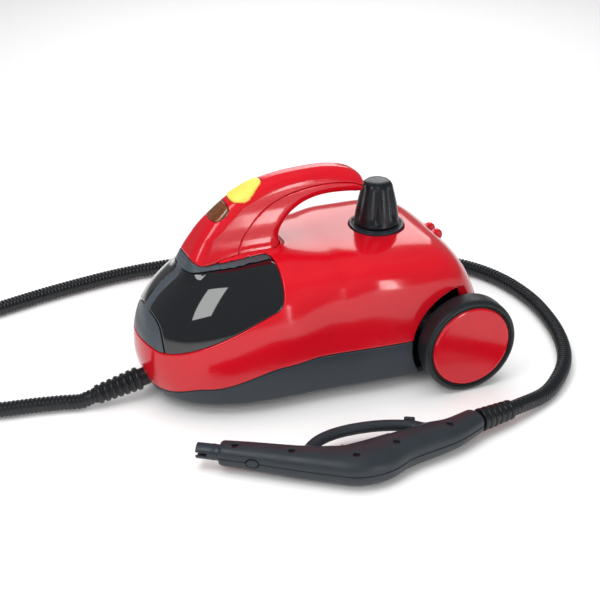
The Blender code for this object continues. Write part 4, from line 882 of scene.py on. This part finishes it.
def release_field(x, y, z):
    """The nozzle release: an oval pad with grooves across it."""
    s, t = release_axes(x, y)
    oval = np.hypot(t / 6.4, z / 4.1) * 5 - 5
    grooves = 0.3 * np.cos(t * 2.6)
    return rounded_max(oval, np.maximum(s - 14.9 + grooves, 9.4 - s), 1.2)


moulded("release_pad", release_field, (-150, 5, -6), (-118, 34, 6), BASE, "nozzle_release",
        ["nozzle_release"], "base_grey", GUN, step=0.6)


def lock_field(x, y, z):
    dx, dy = x - LOCK_AT[0], y - LOCK_AT[1]
    u = dx * math.cos(LOCK_TURN) + dy * math.sin(LOCK_TURN)
    v = -dx * math.sin(LOCK_TURN) + dy * math.cos(LOCK_TURN)
    ridges = 0.35 * np.cos(u * 3.1)
    block = rounded_max(np.abs(u) - 5.9, np.abs(z) - 4.9, 2.0)
    return rounded_max(block, np.maximum(v - 2.2 + ridges, -2.6 - v), 1.2)


moulded("lock_slider", lock_field, (37, 23, -6), (55, 40, 6), GREY, "trigger_lock", ["trigger_lock"],
        "gun_grey", GUN, step=0.6)

# ---------------------------------------------------------------- floor and light
FLOOR = bpy.data.materials.new("pale_floor")
FLOOR.use_nodes = True
floor_shader = FLOOR.node_tree.nodes["Principled BSDF"]
floor_shader.inputs["Base Color"].default_value = (0.92, 0.92, 0.92, 1)
floor_shader.inputs["Roughness"].default_value = 0.6
sheet = bmesh.new()
bmesh.ops.create_grid(sheet, x_segments=1, y_segments=1, size=6)
floor_mesh = bpy.data.meshes.new("floor")
sheet.to_mesh(floor_mesh)
sheet.free()
floor_mesh.materials.append(FLOOR)
floor = bpy.data.objects.new("floor", floor_mesh)
floor.location = (0, 0, -0.0008)
bpy.context.scene.collection.objects.link(floor)


def area_light(name, at, target, size, power, roll=0.0, mirrored=True):
    """A rectangular lamp; roll turns it about its own axis, and mirrored lets it show in gloss."""
    lamp = bpy.data.lights.new(name, "AREA")
    lamp.shape = "RECTANGLE"
    lamp.size, lamp.size_y = size
    lamp.energy = power
    made = bpy.data.objects.new(name, lamp)
    aim = (Vector(target) - Vector(at)).to_track_quat("-Z", "Y").to_matrix().to_4x4()
    made.matrix_world = Matrix.Translation(at) @ aim @ Matrix.Rotation(math.radians(roll), 4, "Z")
    made.visible_glossy = mirrored
    bpy.context.scene.collection.objects.link(made)


area_light("top_fill", (-0.1, 0.15, 1.9), (0.0, 0.05, 0), (2.2, 2.0), 35, mirrored=False)
area_light("front_fill", (-0.3, -1.9, 1.2), (0.05, 0, 0.1), (2.0, 1.2), 19, mirrored=False)
area_light("window_panel", (-0.86, -0.50, 1.12), (0, 0, 0.1), (0.40, 1.05), 7, roll=20)
area_light("deck_panel", (0.62, 1.38, 0.78), (0.05, 0, 0.1), (1.1, 0.50), 5)
area_light("side_strip", (0.47, -1.36, 0.28), (0.05, 0, 0.1), (0.12, 0.60), 3.0)

world = bpy.data.worlds.new("studio")
world.use_nodes = True
world.node_tree.nodes["Background"].inputs["Color"].default_value = (1, 1, 1, 1)
world.node_tree.nodes["Background"].inputs["Strength"].default_value = 0.25
bpy.context.scene.world = world
bpy.context.scene.view_settings.view_transform = "Standard"
